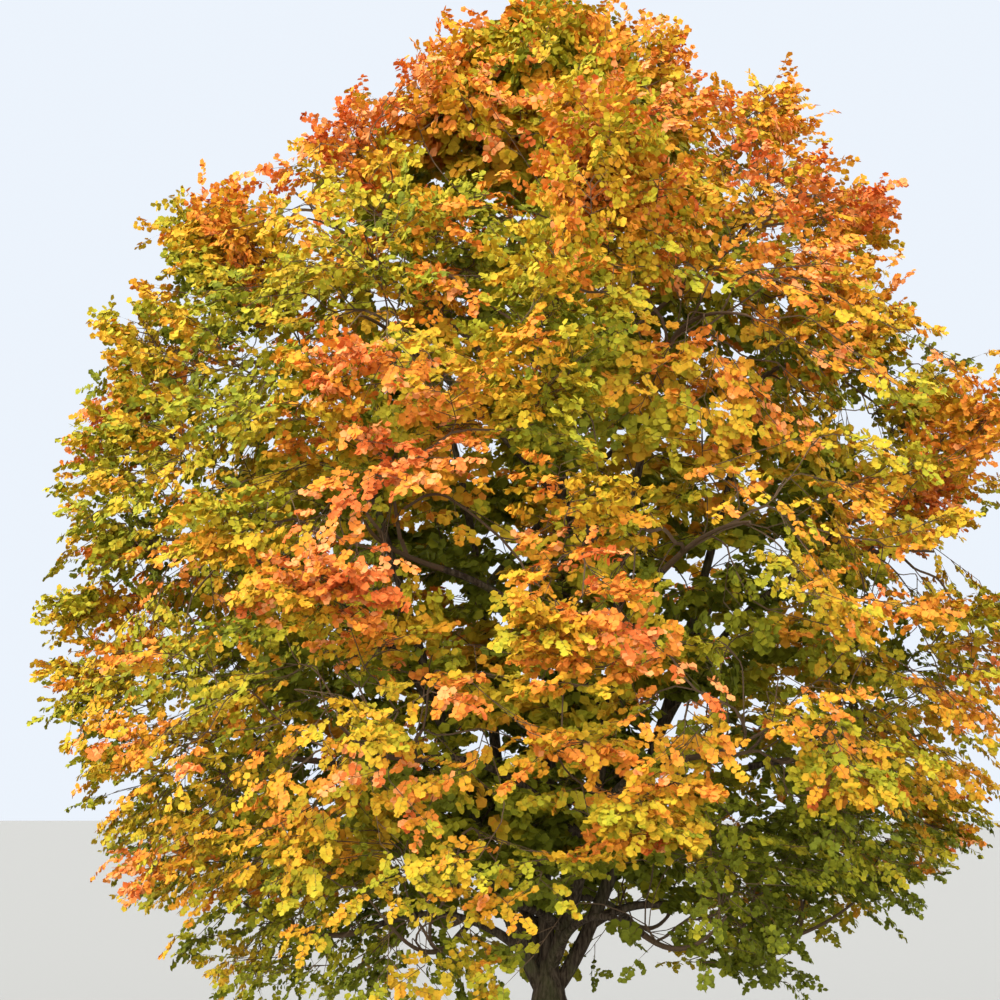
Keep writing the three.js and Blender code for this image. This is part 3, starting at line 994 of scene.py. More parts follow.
# Parts of the crown through which no sky shows
FULL_PLACES = patches(
    (4.4, -0.5, 5.1, 0.9, 0.5),
    (-4.1, -0.4, 4.0, 0.9, 0.4),
    (-4.0, -0.4, 2.7, 0.9, 0.35),
    (-3.2, -0.8, 1.8, 0.8, 0.35),
    (-1.8, 1.5, 4.1, 1.2, 0.4),
    (1.6, 1.5, 4.1, 1.2, 0.4),
    (2.0, 1.5, 5.4, 1.2, 0.4),
    (-1.8, -1.8, 1.7, 1.0, 0.3),
    (1.2, -2.0, 1.8, 0.9, 0.3),
    (2.0, -1.0, 5.4, 1.0, 0.3),
    (-0.8, -2.0, 9.2, 0.6, 0.35),
    (-1.2, -3.8, 5.7, 0.6, 0.35),
    (-1.4, -4.0, 3.7, 0.4, 0.3),
    (-1.7, -2.8, 7.9, 0.7, 0.3),
    (-1.1, -3.4, 8.0, 0.5, 0.3),
    (1.2, -3.6, 7.9, 0.6, 0.3),
    (-0.6, 1.5, 4.0, 0.9, 0.35),
    (-2.5, -2.6, 7.1, 1.0, 0.35),
    (2.9, -2.5, 6.7, 0.7, 0.3),
    (1.4, -0.6, 5.2, 0.9, 0.35),
    (1.2, -1.2, 4.1, 0.8, 0.35),
    (-3.7, -1.5, 4.1, 0.8, 0.3),
    (-1.2, -1.5, 8.5, 0.7, 0.35),
    (-3.7, -1.2, 6.2, 0.9, 0.35),
    (-3.3, -1.5, 7.3, 0.8, 0.3),
    (1.4, -2.4, 3.9, 0.7, 0.35),
    (-1.8, -2.4, 4.1, 0.7, 0.3),
    (3.8, -1.6, 5.0, 0.8, 0.35),
)


def fill_at(points):
    """How much the gaps between the shelves close: towards the crown's middle and in full places."""
    fill = INNER_FILL * (1.0 - smoothstep(outness(points), *INNER_DEPTHS))
    for full in FULL_PLACES:
        fill += full.shifts(points)
    return fill


@dataclass(frozen=True)
class Glade:
    """A gap in the front of the crown, as far as its back, where the wood or the sky shows."""

    place: tuple
    reach: float
    back: float = -1.2


# The first ones show limbs, the last three the sky in a notch on the right
GLADES = (
    Glade((-0.85, -4.0, 3.82), 0.3),
    Glade((0.02, -4.0, 3.16), 0.25),
    Glade((0.05, -4.0, 5.6), 0.22),
    Glade((0.1, -4.2, 5.1), 0.22),
    Glade((-2.0, -3.6, 4.25), 0.32),
    Glade((-0.48, -4.2, 4.44), 0.22),
    Glade((0.05, -3.4, 1.85), 0.5),
    Glade((3.6, 0.0, 5.6), 0.2, 5.0),
    Glade((4.0, 0.0, 5.68), 0.28, 5.0),
    Glade((4.55, 0.0, 5.8), 0.4, 5.0),
)


def in_glade(points):
    """True for each point in a glade. The glades run straight away from the camera."""
    gap = np.zeros(len(points), dtype=bool)
    for glade in GLADES:
        way = glade.place - CAMERA_PLACE
        away = points - CAMERA_PLACE
        depth = (away @ way) / (way @ way)
        aside = np.linalg.norm(away - depth[:, None] * way, axis=1)
        gap |= (aside < glade.reach) & (points[:, 1] < glade.back)
    return gap


# Parts of the crown that turn earlier or later, and two low ones that are deep green partly as painted
# shade. Ripeness runs from 0, deep green, to 1, rust.
PATCHES = patches(
    (-3.4, -0.8, 8.9, 0.7, 0.08),
    (-3.1, -2.3, 8.5, 0.6, 0.05),
    (-2.2, -4.0, 6.9, 0.5, 0.15),
    (-1.4, -4.5, 6.2, 0.9, 0.12),
    (0.5, -4.7, 6.0, 0.6, 0.15),
    (1.1, -4.6, 6.2, 0.6, 0.15),
    (2.0, -4.3, 6.2, 0.7, 0.1),
    (2.9, -3.8, 5.9, 0.6, 0.12),
    (-2.1, -4.3, 5.3, 0.6, 0.32),
    (-1.1, -4.6, 5.0, 0.5, 0.15),
    (2.7, -3.9, 4.9, 0.6, 0.15),
    (3.5, -3.2, 5.0, 0.7, 0.2),
    (4.0, -1.6, 5.0, 0.8, 0.25),
    (0.0, -4.7, 4.6, 0.5, 0.15),
    (-0.8, -4.6, 4.1, 0.4, 0.2),
    (-0.3, -4.6, 3.9, 0.4, 0.25),
    (2.7, -3.5, 3.7, 0.6, 0.3),
    (-1.7, -4.1, 3.5, 0.5, 0.15),
    (-3.0, -3.3, 3.4, 0.5, 0.14),
    (-0.5, -4.4, 3.3, 0.4, 0.25),
    (1.0, -4.2, 3.3, 0.6, 0.25),
    (0.4, -4.2, 3.1, 0.5, 0.25),
    (-3.6, -1.4, 2.35, 0.5, 0.35),
    (-0.9, -2.0, 10.3, 0.5, -0.15),
    (1.1, -3.9, 8.0, 0.6, -0.15),
    (-1.1, -4.0, 7.8, 0.6, -0.12),
    (-3.1, -3.0, 7.4, 0.9, -0.15),
    (-0.4, -4.5, 7.1, 0.7, -0.1),
    (-4.3, -0.8, 6.8, 1.9, -0.33),
    (-3.3, -3.2, 6.6, 0.8, -0.15),
    (3.2, -3.3, 6.6, 0.6, -0.2),
    (-2.8, -3.9, 5.8, 0.6, -0.15),
    (-4.5, -1.6, 4.9, 1.0, -0.2),
    (-3.2, -2.8, 2.6, 0.9, -0.18),
    (-1.6, -3.6, 2.4, 0.8, -0.14),
    (-2.6, -4.0, 4.6, 0.7, -0.1),
    # Low on the right and low in the middle: deep green, partly painted shade
    (3.2, -1.5, 2.5, 2.0, -0.34),
    (0.2, -2.4, 2.0, 1.5, -0.25),
)


# The top turns early. The skirt and the inside of the crown turn late. The lower right corner is
# greener and darker, partly because it turns late and partly as painted shade.
RIPENESS = 0.44
TOP_TURN = 0.17
TOP_HEIGHTS = (8.0, 9.6)
SKIRT_TURN = 0.13
SKIRT_HEIGHTS = (3.6, 1.8)
INNER_TURN = 0.22
INNER_SHARES = (0.88, 0.4)
CORNER_TURN_AND_PAINTED_SHADE = 0.14
CORNER_WIDTHS = (0.5, 3.5)
CORNER_HEIGHTS = (4.0, 2.0)
# The back of the crown has the front's patches, half a turn round
HALF_TURN = np.array((-1.0, -1.0, 1.0))
TINT_NOISE = 0.22
# Leaves in the middle of a shelf are riper and lighter, and those at its edges greener and darker. This
# is partly each clump's own colour and partly painted light on the lit shelves, with painted shade in
# the gaps between them.
SHELF_RIPENESS_AND_PAINTED_LIGHT = 0.9
SHELF_EDGE = 0.15
SHELF_RIPENESS_AND_PAINTED_LIGHT_RANGE = (-0.15, 0.2)


def ripeness_and_painted_light_at(points, shelf):
    """How far the leaves have turned at each place in the crown, most in the middle of shelves, with
    painted light on the shelves, painted shade at their edges and in the lower right.
    """
    x, y, z = points.T
    ripe_and_painted_light = RIPENESS + TOP_TURN * smoothstep(z, *TOP_HEIGHTS)
    ripe_and_painted_light -= SKIRT_TURN * falling(z, *SKIRT_HEIGHTS)
    ripe_and_painted_light -= INNER_TURN * falling(outness(points), *INNER_SHARES)
    # Greener and darker in the lower right corner: partly late turning, partly painted shade
    ripe_and_painted_light -= CORNER_TURN_AND_PAINTED_SHADE * smoothstep(x, *CORNER_WIDTHS) * falling(z, *CORNER_HEIGHTS)
    front = np.where((y > 0.0)[:, None], points * HALF_TURN, points)
    for patch in PATCHES:
        ripe_and_painted_light += patch.shifts(front)
    ripe_and_painted_light += TINT_NOISE * shelf_noise(points, TINT_WIDTH, TINT_HEIGHT)
    # Painted light on the middles of the shelves and painted shade at their edges, mixed with the
    # clumps' own colour
    return ripe_and_painted_light + SHELF_RIPENESS_AND_PAINTED_LIGHT * np.clip(shelf - SHELF_EDGE, *SHELF_RIPENESS_AND_PAINTED_LIGHT_RANGE)


EDGE_SLACK = -0.1
SHOOT_TONE_SPREAD = 0.06


def grown_crown(crown):
    """The wood, sprays, side twigs, shoots and leaves of the whole crown."""
    rng = np.random.default_rng(crown.seed)
    groups = spray_groups(crown, rng)
    sprays = stacked([table for table, _ in groups])
    twigs = side_twigs(sprays, crown, rng)
    shelf = shelf_noise(twigs.ends, SHELF_WIDTH, SHELF_HEIGHT)
    kept = (shelf + fill_at(twigs.ends) > crown.gap_depth) & in_crown(twigs.ends, EDGE_SLACK)
    kept |= sprays.stand_out[twigs.bearers]
    kept &= ~in_glade(twigs.ends) & in_box(twigs.ends)
    borne = np.bincount(twigs.bearers[kept], minlength=len(sprays.necks))
    kept &= borne[twigs.bearers] >= crown.least_twigs
    twigs = picked(twigs, kept)
    twig_ripeness_and_painted_light = ripeness_and_painted_light_at(twigs.ends, shelf[kept])
    wood, sticks_of_sprays = grown_wood(groups, sprays, twigs)
    shoots = shoots_of(twigs, crown, rng)
    shoots = picked(shoots, in_box(shoots.ends))
    spray_tone = rng.normal(0.0, crown.spray_ripeness_spread, len(sprays.necks))
    twig_ripeness_and_painted_light = twig_ripeness_and_painted_light + spray_tone[twigs.bearers]
    shoot_tone = rng.normal(0.0, SHOOT_TONE_SPREAD, len(shoots.starts))
    shoot_ripeness_and_painted_light = twig_ripeness_and_painted_light[shoots.bearers] + shoot_tone
    leaves = leaves_of(shoots, shoot_ripeness_and_painted_light, crown, rng)
    return wood, sticks_of_sprays, twigs, shoots, leaves


def mesh_piece(name, corners, faces, materials, tones=None, smooth=False):
    """Makes one object from an array of corners and an array of triangles."""
    mesh = bpy.data.meshes.new(name)
    mesh.vertices.add(len(corners))
    mesh.vertices.foreach_set("co", np.ascontiguousarray(corners, dtype=np.float32).ravel())
    mesh.loops.add(faces.size)
    mesh.loops.foreach_set("vertex_index", np.ascontiguousarray(faces, dtype=np.int32).ravel())
    mesh.polygons.add(len(faces))
    mesh.polygons.foreach_set("loop_start", np.arange(0, faces.size, 3, dtype=np.int32))
    if tones is not None:
        mesh.polygons.foreach_set("material_index", np.asarray(tones, dtype=np.int32))
    mesh.polygons.foreach_set("use_smooth", np.full(len(faces), smooth))
    mesh.update(calc_edges=True)
    mesh.validate()
    for material in materials:
        mesh.materials.append(material)
    piece = bpy.data.objects.new(name, mesh)
    bpy.context.scene.collection.objects.link(piece)
    return piece


def joined(parts):
    """One array of corners and one of triangles from several such pairs."""
    corners, faces, base = [], [], 0
    for part_corners, part_faces in parts:
        corners.append(part_corners.reshape(-1, 3))
        faces.append(part_faces.reshape(-1, 3) + base)
        base += len(corners[-1])
    return np.concatenate(corners), np.concatenate(faces)


def fitted(piece, nodes):
    """A piece rides on the tree's one body and stands for these nodes of the frame."""
    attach(piece, "root")
    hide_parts(*nodes)


TANGENT_STEP = 1e-3


def tube(point_at, radius_at, reference, sides, rings, crowding=1.0):
    """A closed tapering tube whose rings are set square along a course."""
    shares = np.linspace(0.0, 1.0, rings + 1) ** crowding
    angles = np.arange(sides) * 2.0 * np.pi / sides
    corners = []
    for share in shares:
        middle = point_at(share)
        ahead = point_at(min(share + TANGENT_STEP, 1.0))
        tangent = unit(ahead - point_at(max(share - TANGENT_STEP, 0.0)))
        wide = unit(reference - tangent * (reference @ tangent))
        other = np.cross(wide, tangent)
        radii = radius_at(share, angles)[:, None]
        ring = np.outer(np.cos(angles), wide) + np.outer(np.sin(angles), other)
        corners.append(middle + radii * ring)
    corners = np.concatenate(corners)
    first, step = np.meshgrid(np.arange(rings) * sides, np.arange(sides), indexing="ij")
    here = first + step
    there = first + (step + 1) % sides
    sheet = np.stack((here, here + sides, there, there, here + sides, there + sides), axis=-1)
    last = rings * sides
    ends = [(0, i, i + 1) for i in range(1, sides - 1)]
    ends += [(last, last + i + 1, last + i) for i in range(1, sides - 1)]
    return corners, np.concatenate((sheet.reshape(-1, 3), np.array(ends)))


FURROW_WIDTH = 0.022
FURROW_LENGTH = 0.16
FINE_RELIEF = 0.35
FINE_SCALE = 2.7
COLLAR_REACH = 0.35


def furrows(share, angles, radius, length):
    """Relief of the bark: long ridges with gaps between them, from about -1 to 1."""
    wide = radius / FURROW_WIDTH
    up = share * (length / FURROW_LENGTH)
    relief = []
    for angle in angles:
        place = Vector((math.cos(angle) * wide, math.sin(angle) * wide, up))
        ridge = 1.0 - 2.0 * abs(noise.noise(place))
        relief.append(ridge + FINE_RELIEF * noise.noise(place * FINE_SCALE))
    return np.array(relief)


def branch_tube(branch, sides, rings, depth, collar=0.0):
    """A limb or bough with its relief, a little thicker where it leaves what carries it."""
    length = float(np.linalg.norm(branch.point_at(1.0) - branch.point_at(0.0)))
    root, tip = branch.radii

    def radius_at(share, angles):
        radius = root + (tip - root) * share
        swell = collar * math.exp(-share * length / COLLAR_REACH)
        relief = furrows(share, angles, radius, length)
        return radius * (1.0 + swell) + depth * radius * relief

    return tube(branch.point_at, radius_at, across(branch.azimuth), sides, rings)


STEEP = 0.9


def sticks(starts, ends, root_radius, tip_radius):
    """Three-sided sticks, open at their ends. With no tip radius they end in a point."""
    way = unit(ends - starts)
    steep = (np.abs(way[:, 2]) > STEEP)[:, None]
    wide = unit(np.cross(way, np.where(steep, RIGHT, UP)))
    high = np.cross(way, wide)
    angles = np.radians((90.0, 210.0, 330.0))
    ring = wide[:, None, :] * np.cos(angles)[:, None] + high[:, None, :] * np.sin(angles)[:, None]
    root = starts[:, None, :] + ring * np.reshape(root_radius, (-1, 1, 1))
    base = np.arange(len(starts))[:, None, None]
    if tip_radius is None:
        corners = np.concatenate((root, ends[:, None, :]), axis=1)
        return corners, base * 4 + np.array(((0, 3, 1), (1, 3, 2), (2, 3, 0)))
    tip = ends[:, None, :] + ring * np.reshape(tip_radius, (-1, 1, 1))
    corners = np.concatenate((root, tip), axis=1)
    faces = np.array(((0, 4, 1), (0, 3, 4), (1, 5, 2), (1, 4, 5), (2, 3, 0), (2, 5, 3)))
    return corners, base * 6 + faces


# The corners of a leaf, as shares of its length along, across and up: foot, sides and rounded end
LEAF_CORNERS = np.array(
    ((0.0, 0.0, 0.0), (0.33, 0.48, 0.09), (0.9, 0.3, 0.0), (0.9, -0.3, 0.0), (0.33, -0.48, 0.09))
)
LEAF_FACES = np.array(((0, 2, 1), (0, 3, 2), (0, 4, 3)))


def leaf_arrays(leaves):
    """The corners and triangles of all leaves, each with its sides folded up a little."""
    ways = np.stack((leaves.forwards, leaves.sides, leaves.flats), axis=1)
    corners = np.einsum("ck,nkd->ncd", LEAF_CORNERS, ways) * leaves.lengths[:, None, None]
    corners += leaves.feet[:, None, :]
    base = np.arange(len(leaves.feet))[:, None, None] * len(LEAF_CORNERS)
    return corners, base + LEAF_FACES


GLOSS = 0.08
BARK_ROUGHNESS = 0.9
BARK_STRETCH = (1.0, 1.0, 0.16)
BARK_TONES = (0.4, 0.66)
PLATE_NOISE = {"Scale": 38.0, "Detail": 6.0, "Roughness": 0.62}
MOSS_NOISE = {"Scale": 3.5, "Detail": 4.0}
MOSS_RANGE = {"From Min": 0.5, "From Max": 0.7, "To Max": 0.5}
BARK_BUMP = {"Strength": 0.7, "Distance": 0.01}


def plain_material(name, colour, roughness):
    """A dull material of one colour."""
    material = bpy.data.materials.new(name)
    material.use_nodes = True
    shader = material.node_tree.nodes["Principled BSDF"]
    shader.inputs["Base Color"].default_value = (*colour, 1.0)
    shader.inputs["Roughness"].default_value = roughness
    shader.inputs["Specular IOR Level"].default_value = GLOSS
    material.diffuse_color = (*colour, 1.0)
    return material


def set_inputs(node, values):
    """Sets these values on a node's inputs."""
    for name, value in values.items():
        node.inputs[name].default_value = value
    return node


def bark_material(wood):
    """Grey plates over dark brown furrows, both drawn out along the stem, with some thin moss."""
    material = plain_material("bark", wood.furrow_colour, BARK_ROUGHNESS)
    tree = material.node_tree
    add = tree.nodes.new
    shader = tree.nodes["Principled BSDF"]
    place = add("ShaderNodeTexCoord")
    stretch = set_inputs(add("ShaderNodeMapping"), {"Scale": BARK_STRETCH})
    plates = set_inputs(add("ShaderNodeTexNoise"), PLATE_NOISE)
    moss = set_inputs(add("ShaderNodeTexNoise"), MOSS_NOISE)
    tones = add("ShaderNodeValToRGB")
    colours = (wood.furrow_colour, wood.plate_colour)
    for element, position, colour in zip(tones.color_ramp.elements, BARK_TONES, colours):
        element.position = position
        element.color = (*colour, 1.0)
    stained = add("ShaderNodeMix")
    stained.data_type = "RGBA"
    set_inputs(stained, {"B": (*wood.moss_colour, 1.0)})
    patch = set_inputs(add("ShaderNodeMapRange"), MOSS_RANGE)
    relief = set_inputs(add("ShaderNodeBump"), BARK_BUMP)
    for source, output, target, name in (
        (place, "Object", stretch, "Vector"),
        (stretch, "Vector", plates, "Vector"),
        (place, "Object", moss, "Vector"),
        (plates, "Fac", tones, "Fac"),
        (moss, "Fac", patch, "Value"),
        (patch, "Result", stained, "Factor"),
        (tones, "Color", stained, "A"),
        (stained, "Result", shader, "Base Color"),
        (plates, "Fac", relief, "Height"),
        (relief, "Normal", shader, "Normal"),
    ):
        tree.links.new(source.outputs[output], target.inputs[name])
    return material


def a_number(name, default, description, least=0.0, **kind):
    """A property that holds a number."""
    return FloatProperty(name=name, description=description, default=default, min=least, **kind)


def a_length(name, default, description, least=0.0):
    """A property that holds a length."""
    return a_number(name, default, description, least, unit="LENGTH")


def a_share(name, default, description):
    """A property that holds a share."""
    return a_number(name, default, description, subtype="FACTOR")


def a_count(name, default, description, least=0):
    """A property that holds a whole number."""
    return IntProperty(name=name, description=description, default=default, min=least)


def a_colour(name, default, description):
    """A property that holds a colour."""
    return FloatVectorProperty(name=name, description=description, default=default, subtype="COLOR")


class WoodSettings(bpy.types.PropertyGroup):
    """Relief and colours of the bark and the twigs"""

    trunk_relief: a_length("Trunk relief", 0.011, "Depth of the furrows in the trunk's bark")
    branch_relief: a_share(
        "Branch relief", 0.06, "Depth of the furrows on limbs and boughs, as a share of their radius"
    )
    furrow_colour: a_colour("Furrows", (0.035, 0.024, 0.016), "Colour of the bark's furrows")
    plate_colour: a_colour("Plates", (0.14, 0.105, 0.07), "Colour of the bark's raised plates")
    twig_colour: a_colour("Twigs", (0.13, 0.085, 0.05), "Colour of the twigs")
    shoot_colour: a_colour("Shoots", (0.22, 0.13, 0.05), "Colour of the leafy shoots")
    moss_colour: a_colour("Moss", (0.09, 0.1, 0.035), "Colour of the thin moss in patches")


class CrownSettings(bpy.types.PropertyGroup):
    """Numbers and sizes of sprays, twigs, shoots and leaves"""

    seed: IntProperty(name="Seed", description="Start of the random numbers", default=11)
    finer_sprays: a_count(
        "Finer sprays", 14, "Shorter sprays tried for each mass between the main ones"
    )
    finer_spray_length: a_length(
        "Finer spray length", 0.8, "Length of the leafy part of a finer spray", 0.1
    )
    side_twigs: a_count("Side twigs", 8, "Side twigs on the leafy part of each spray", 1)
    least_twigs: a_count(
        "Least side twigs", 3, "A spray that would keep fewer side twigs than this is left out", 1
    )
    cover_sprays: a_count("Cover sprays", 3000, "Sprays tried evenly over the whole crown")
    cover_spacing: a_length(
        "Cover spacing", 0.55, "A cover spray is kept where no other spray is nearer than this", 0.05
    )
    tuft_sprays: a_count("Tuft sprays", 7, "Small sprays in each tuft that stands out of the outline")
    inner_sprays: a_count("Inner sprays", 10, "Small sprays tried inside each mass")
    inner_draw: a_number(
        "Inner draw", 0.8, "How far out in a mass the inner sprays go, as a share of its depth", 0.2
    )
    inner_spray_length: a_length(
        "Inner spray length", 0.6, "Length of the leafy part of an inner spray", 0.1
    )
    wood_sprays: a_count(
        "Sprays on the wood", 26, "Small sprays that each limb and the leader bear themselves", 1
    )
    clear_stem: a_length(
        "Clear stem", 2.3, "Height under which the limbs and the leader bear no sprays"
    )
    gap_depth: a_number(
        "Gap depth", 0.075, "Side twigs are left out where the shelf noise is under this", -1.0, max=1.0
    )
    tuft_depth: a_length(
        "Tuft depth", 0.6, "How far some finer sprays stay behind the crown's outline"
    )
    spray_thickness: a_number(
        "Spray thickness", 0.32, "How far side twigs tilt out of their spray's flat"
    )
    shoot_spacing: a_length("Shoot spacing", 0.2, "Distance between the shoots of a side twig", 0.02)
    most_shoots: a_count(
        "Most shoots", 3, "Most shoots on one side twig, besides the one at its end", 1
    )
    shoot_length: a_length("Shoot length", 0.2, "Length of the leafy shoots", 0.02)
    leaf_pairs: a_count("Leaf pairs", 5, "Opposite pairs of leaves on each shoot", 1)
    leaf_length: a_length("Leaf length", 0.066, "Length of the largest leaves", 0.02)
    shade_growth: a_share(
        "Shade growth", 0.75, "How much longer the leaves inside the crown are than those outside"
    )
    leaf_droop: a_number("Leaf droop", 0.4, "How far the leaves hang down from their shoot")
    leaf_outward: a_number(
        "Leaf outward turn", 0.5, "How far the leaves turn to the light outside the crown"
    )
    leaf_flutter: a_number("Leaf flutter", 0.42, "How unevenly the leaves face")
    spray_ripeness_spread: a_number(
        "Spray colour spread", 0.08, "How much sprays differ in colour from their neighbours"
    )
    leaf_ripeness_spread: a_number(
        "Leaf colour spread", 0.035, "How much the leaves of one shoot differ in colour"
    )


def tint(label, default):
    """One colour of the leaves."""
    return a_colour(label, default, f"Colour of the {label.lower()} leaves")


class LeafSettings(bpy.types.PropertyGroup):
    """Colours of the leaves, from green to rust"""

    deep_green: tint("Deep green", (0.16, 0.18, 0.014))
    green: tint("Green", (0.26, 0.27, 0.018))
    olive: tint("Olive", (0.35, 0.33, 0.02))
    yellow_green: tint("Yellow green", (0.45, 0.38, 0.024))
    yellow: tint("Yellow", (0.53, 0.37, 0.022))
    gold: tint("Gold", (0.61, 0.35, 0.022))
    amber: tint("Amber", (0.67, 0.31, 0.022))
    orange: tint("Orange", (0.73, 0.27, 0.03))
    bright_orange: tint("Bright orange", (0.75, 0.24, 0.035))
    peach: tint("Peach", (0.8, 0.32, 0.1))
    red_orange: tint("Red orange", (0.72, 0.17, 0.035))
    rust: tint("Rust", (0.62, 0.14, 0.03))


class StageSettings(bpy.types.PropertyGroup):
    """Colours of the floor and the air, and strengths of the lights"""

    floor_colour: a_colour("Floor", (0.3, 0.3, 0.29), "Colour of the floor")
    air_colour: a_colour("Air", (0.84, 0.9, 0.98), "Colour of the soft light from all round")
    air_strength: a_number("Air strength", 1.0, "Strength of the soft light from all round")
    dome_strength: a_number("Dome strength", 2.6, "Strength of the wide soft light from above")
    front_strength: a_number(
        "Front strength", 3.1, "Strength of the wide soft light from the camera's side"
    )
    key_strength: a_number("Key strength", 1.5, "Strength of the main light")


TINTS = tuple(LeafSettings.__annotations__)
# The tints that lie in one piece together, from green to rust
FAMILIES = {
    "green": ("deep_green", "green", "olive"),
    "gold": ("yellow_green", "yellow", "gold", "amber"),
    "orange": ("orange", "bright_orange", "peach"),
    "red": ("red_orange", "rust"),
}
MOST_LEAVES = 64000

# How many sides and rings a tube has, and how much thicker it is at its foot
TRUNK_TUBE = (64, 150)
LIMB_TUBE = (24, 90)
BOUGH_TUBE = (12, 28)
STEM_TUBE = (8, 14)
LIMB_COLLAR = 0.1
BOUGH_COLLAR = 0.5
# Radii of the finest wood, and how fast twigs taper
TWIG_TAPER = 0.95
MIDDLE_RADII = (0.006, 0.003)
SIDE_RADIUS = 0.0055
SHOOT_RADIUS = 0.003
TWIG_ROUGHNESS = 0.8
SHOOT_ROUGHNESS = 0.7
LEAF_ROUGHNESS = 0.55
GROUND_REACH = 1e-3


def bark_piece(wood, name, branches, sides_and_rings, collar):
    """All limbs or all boughs as one piece with bark."""
    tubes = [branch_tube(branch, *sides_and_rings, wood.branch_relief, collar) for branch in branches]
    piece = mesh_piece(name, *joined(tubes), [bark_material(wood)], smooth=True)
    fitted(piece, [branch.name for branch in branches])


class TREE_OT_trunk(bpy.types.Operator):
    """Make the trunk and its leader with furrowed bark"""

    bl_idname = "tree.trunk"
    bl_label = "Trunk"

    def execute(self, context):
        wood = context.scene.tree_wood

        def radius_at(share, angles):
            height = share * LEADER_TOP
            radius = trunk_radius(height, angles)
            thickness = float(radius.mean())
            depth = wood.trunk_relief * min(1.0, thickness / TRUNK_RADIUS)
            return radius + depth * furrows(share, angles, thickness, LEADER_TOP)

        corners, faces = tube(leader_point, radius_at, RIGHT, *TRUNK_TUBE, TRUNK_RING_CROWDING)
        corners[corners[:, 2] < GROUND_REACH, 2] = 0.0
        piece = mesh_piece("trunk_bark", corners, faces, [bark_material(wood)], smooth=True)
        fitted(piece, ["trunk"])
        return {"FINISHED"}


class TREE_OT_limbs(bpy.types.Operator):
    """Make the limbs that rise from the fork"""

    bl_idname = "tree.limbs"
    bl_label = "Limbs"

    def execute(self, context):
        bark_piece(context.scene.tree_wood, "limb_bark", LIMBS, LIMB_TUBE, LIMB_COLLAR)
        return {"FINISHED"}


class TREE_OT_boughs(bpy.types.Operator):
    """Make the boughs that arch out of the limbs"""

    bl_idname = "tree.boughs"
    bl_label = "Boughs"

    def execute(self, context):
        bark_piece(context.scene.tree_wood, "bough_bark", BOUGHS, BOUGH_TUBE, BOUGH_COLLAR)
        return {"FINISHED"}


class TREE_OT_twigs(bpy.types.Operator):
    """Make the stems of the masses and all twigs and shoots"""

    bl_idname = "tree.twigs"
    bl_label = "Twigs"

    def execute(self, context):
        wood = context.scene.tree_wood
        grown, middles, twigs, shoots, _ = grown_crown(context.scene.tree_crown)
        parts = []
        for mass in MASSES:
            stem = Branch(mass.name, mass.azimuth, stem_of(mass), (BOUGH_TIP_RADIUS, STEM_TIP_RADIUS))
            parts.append(branch_tube(stem, *STEM_TUBE, wood.branch_relief))
        for knots in grown:
            starts, ends, radii = knots.twigs()
            parts.append(sticks(starts, ends, radii, radii * TWIG_TAPER))
        parts.append(sticks(*middles, *MIDDLE_RADII))
        parts.append(sticks(twigs.starts, twigs.ends, SIDE_RADIUS, None))
        tips = [sticks(shoots.starts, shoots.ends, SHOOT_RADIUS, None)]
        for name, lengths, material in (
            ("twigs", parts, plain_material("twig_bark", wood.twig_colour, TWIG_ROUGHNESS)),
            ("shoots", tips, plain_material("shoot_bark", wood.shoot_colour, SHOOT_ROUGHNESS)),
        ):
            piece = mesh_piece(name, *joined(lengths), [material])
            fitted(piece, [mass.name for mass in MASSES])
        return {"FINISHED"}


class TREE_OT_leaves(bpy.types.Operator):
    """Make the leaves, in pieces by colour"""

    bl_idname = "tree.leaves"
    bl_label = "Leaves"

    def execute(self, context):
        colours = context.scene.tree_leaves
        *_, leaves = grown_crown(context.scene.tree_crown)
        tones = np.clip((leaves.ripeness * len(TINTS)).astype(int), 0, len(TINTS) - 1)
        for family, tints in FAMILIES.items():
            numbers = [TINTS.index(name) for name in tints]
            materials = [
                plain_material(f"{name}_leaf", getattr(colours, name), LEAF_ROUGHNESS) for name in tints
            ]
            chosen = np.flatnonzero(np.isin(tones, numbers))
            chosen = chosen[np.argsort(leaves.feet[chosen, 2])]
            parts = max(1, math.ceil(len(chosen) / MOST_LEAVES))
            for number, rows in enumerate(np.array_split(chosen, parts)):
                corners, faces = joined([leaf_arrays(picked(leaves, rows))])
                face_tones = np.repeat(tones[rows] - numbers[0], len(LEAF_FACES))
                name = f"{family}_leaves_{number + 1}"
                piece = mesh_piece(name, corners, faces, materials, face_tones)
                owners = np.unique(leaves.owners[rows])
                fitted(piece, [MASSES[owner].name for owner in owners])
        return {"FINISHED"}


FLOOR_HALF = 250.0
FLOOR_ROUGHNESS = 0.9
SUNLIGHT = (1.0, 0.96, 0.9)
# Each light's way, its angle and its share of the strength in the settings of this name
LIGHTS = (
    ("key", (0.7, 0.65, -0.75), 14.0, 1.0, "key_strength"),
    ("dome", (0.3, 0.5, -0.8), 120.0, 1.0, "dome_strength"),
    ("back", (-0.2, -0.9, -0.6), 60.0, 0.3, "key_strength"),
    ("front", (0.5, 0.9, -0.15), 150.0, 1.0, "front_strength"),
)
SENSOR_WIDTH = 36.0
LENS_LENGTH = 86.4
CAMERA_TILT = 96.9
FURTHEST_SEEN = 400.0


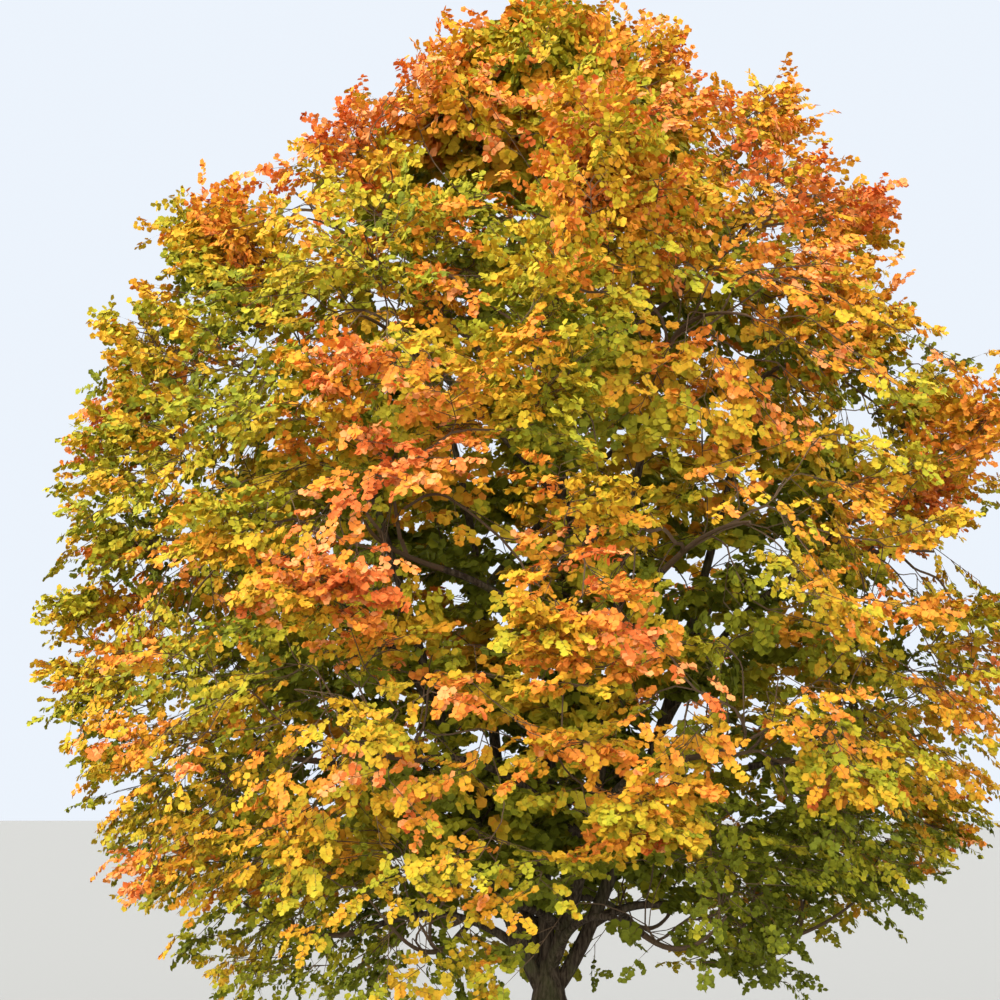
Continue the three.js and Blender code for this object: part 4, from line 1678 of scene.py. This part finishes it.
class TREE_OT_stage(bpy.types.Operator):
    """Make the floor, the lights and the camera"""

    bl_idname = "tree.stage"
    bl_label = "Stage"

    def execute(self, context):
        scene = context.scene
        stage = scene.tree_stage
        corners = FLOOR_HALF * np.array(((-1, -1, 0), (1, -1, 0), (1, 1, 0), (-1, 1, 0)))
        faces = np.array(((0, 1, 2), (0, 2, 3)))
        material = plain_material("floor", stage.floor_colour, FLOOR_ROUGHNESS)
        floor = mesh_piece("floor", corners, faces, [material])
        floor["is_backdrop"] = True

        world = bpy.data.worlds.new("air")
        world.use_nodes = True
        air = world.node_tree.nodes["Background"]
        set_inputs(air, {"Color": (*stage.air_colour, 1.0), "Strength": stage.air_strength})
        scene.world = world

        for name, way, angle, share, strength in LIGHTS:
            light = bpy.data.lights.new(name, "SUN")
            light.energy = share * getattr(stage, strength)
            light.angle = math.radians(angle)
            light.color = SUNLIGHT
            lamp = bpy.data.objects.new(name, light)
            lamp.rotation_mode = "QUATERNION"
            lamp.rotation_quaternion = Vector(way).to_track_quat("-Z", "Y")
            scene.collection.objects.link(lamp)

        lens = bpy.data.cameras.new("camera")
        lens.sensor_width = SENSOR_WIDTH
        lens.lens = LENS_LENGTH
        lens.clip_end = FURTHEST_SEEN
        camera = bpy.data.objects.new("camera", lens)
        camera.location = CAMERA_PLACE
        camera.rotation_euler = (math.radians(CAMERA_TILT), 0.0, 0.0)
        scene.collection.objects.link(camera)
        scene.camera = camera
        scene.view_settings.view_transform = "Standard"
        return {"FINISHED"}


PIECE_OPERATORS = (
    TREE_OT_trunk,
    TREE_OT_limbs,
    TREE_OT_boughs,
    TREE_OT_twigs,
    TREE_OT_leaves,
    TREE_OT_stage,
)
SETTINGS = {
    "tree_wood": WoodSettings,
    "tree_crown": CrownSettings,
    "tree_leaves": LeafSettings,
    "tree_stage": StageSettings,
}


class TREE_PT_panel(bpy.types.Panel):
    """Sizes and colours of the tree, and the operators that make it"""

    bl_label = "Katsura Tree"
    bl_idname = "TREE_PT_panel"
    bl_space_type = "VIEW_3D"
    bl_region_type = "UI"
    bl_category = "Tree"

    def draw(self, context):
        for operator in PIECE_OPERATORS:
            self.layout.operator(operator.bl_idname)
        for name, settings in SETTINGS.items():
            box = self.layout.box()
            for prop in settings.__annotations__:
                box.prop(getattr(context.scene, name), prop)


CLASSES = (*SETTINGS.values(), *PIECE_OPERATORS, TREE_PT_panel)


def register():
    """Registers the settings, the operators and the panel."""
    for cls in CLASSES:
        bpy.utils.register_class(cls)
    for name, settings in SETTINGS.items():
        setattr(bpy.types.Scene, name, PointerProperty(type=settings))


def unregister():
    """Takes them all away again."""
    for name in SETTINGS:
        delattr(bpy.types.Scene, name)
    for cls in reversed(CLASSES):
        bpy.utils.unregister_class(cls)


def main():
    """Makes the stage and all pieces."""
    register()
    bpy.ops.tree.stage()
    bpy.ops.tree.trunk()
    bpy.ops.tree.limbs()
    bpy.ops.tree.boughs()
    bpy.ops.tree.twigs()
    bpy.ops.tree.leaves()


if __name__ == "__main__":
    main()
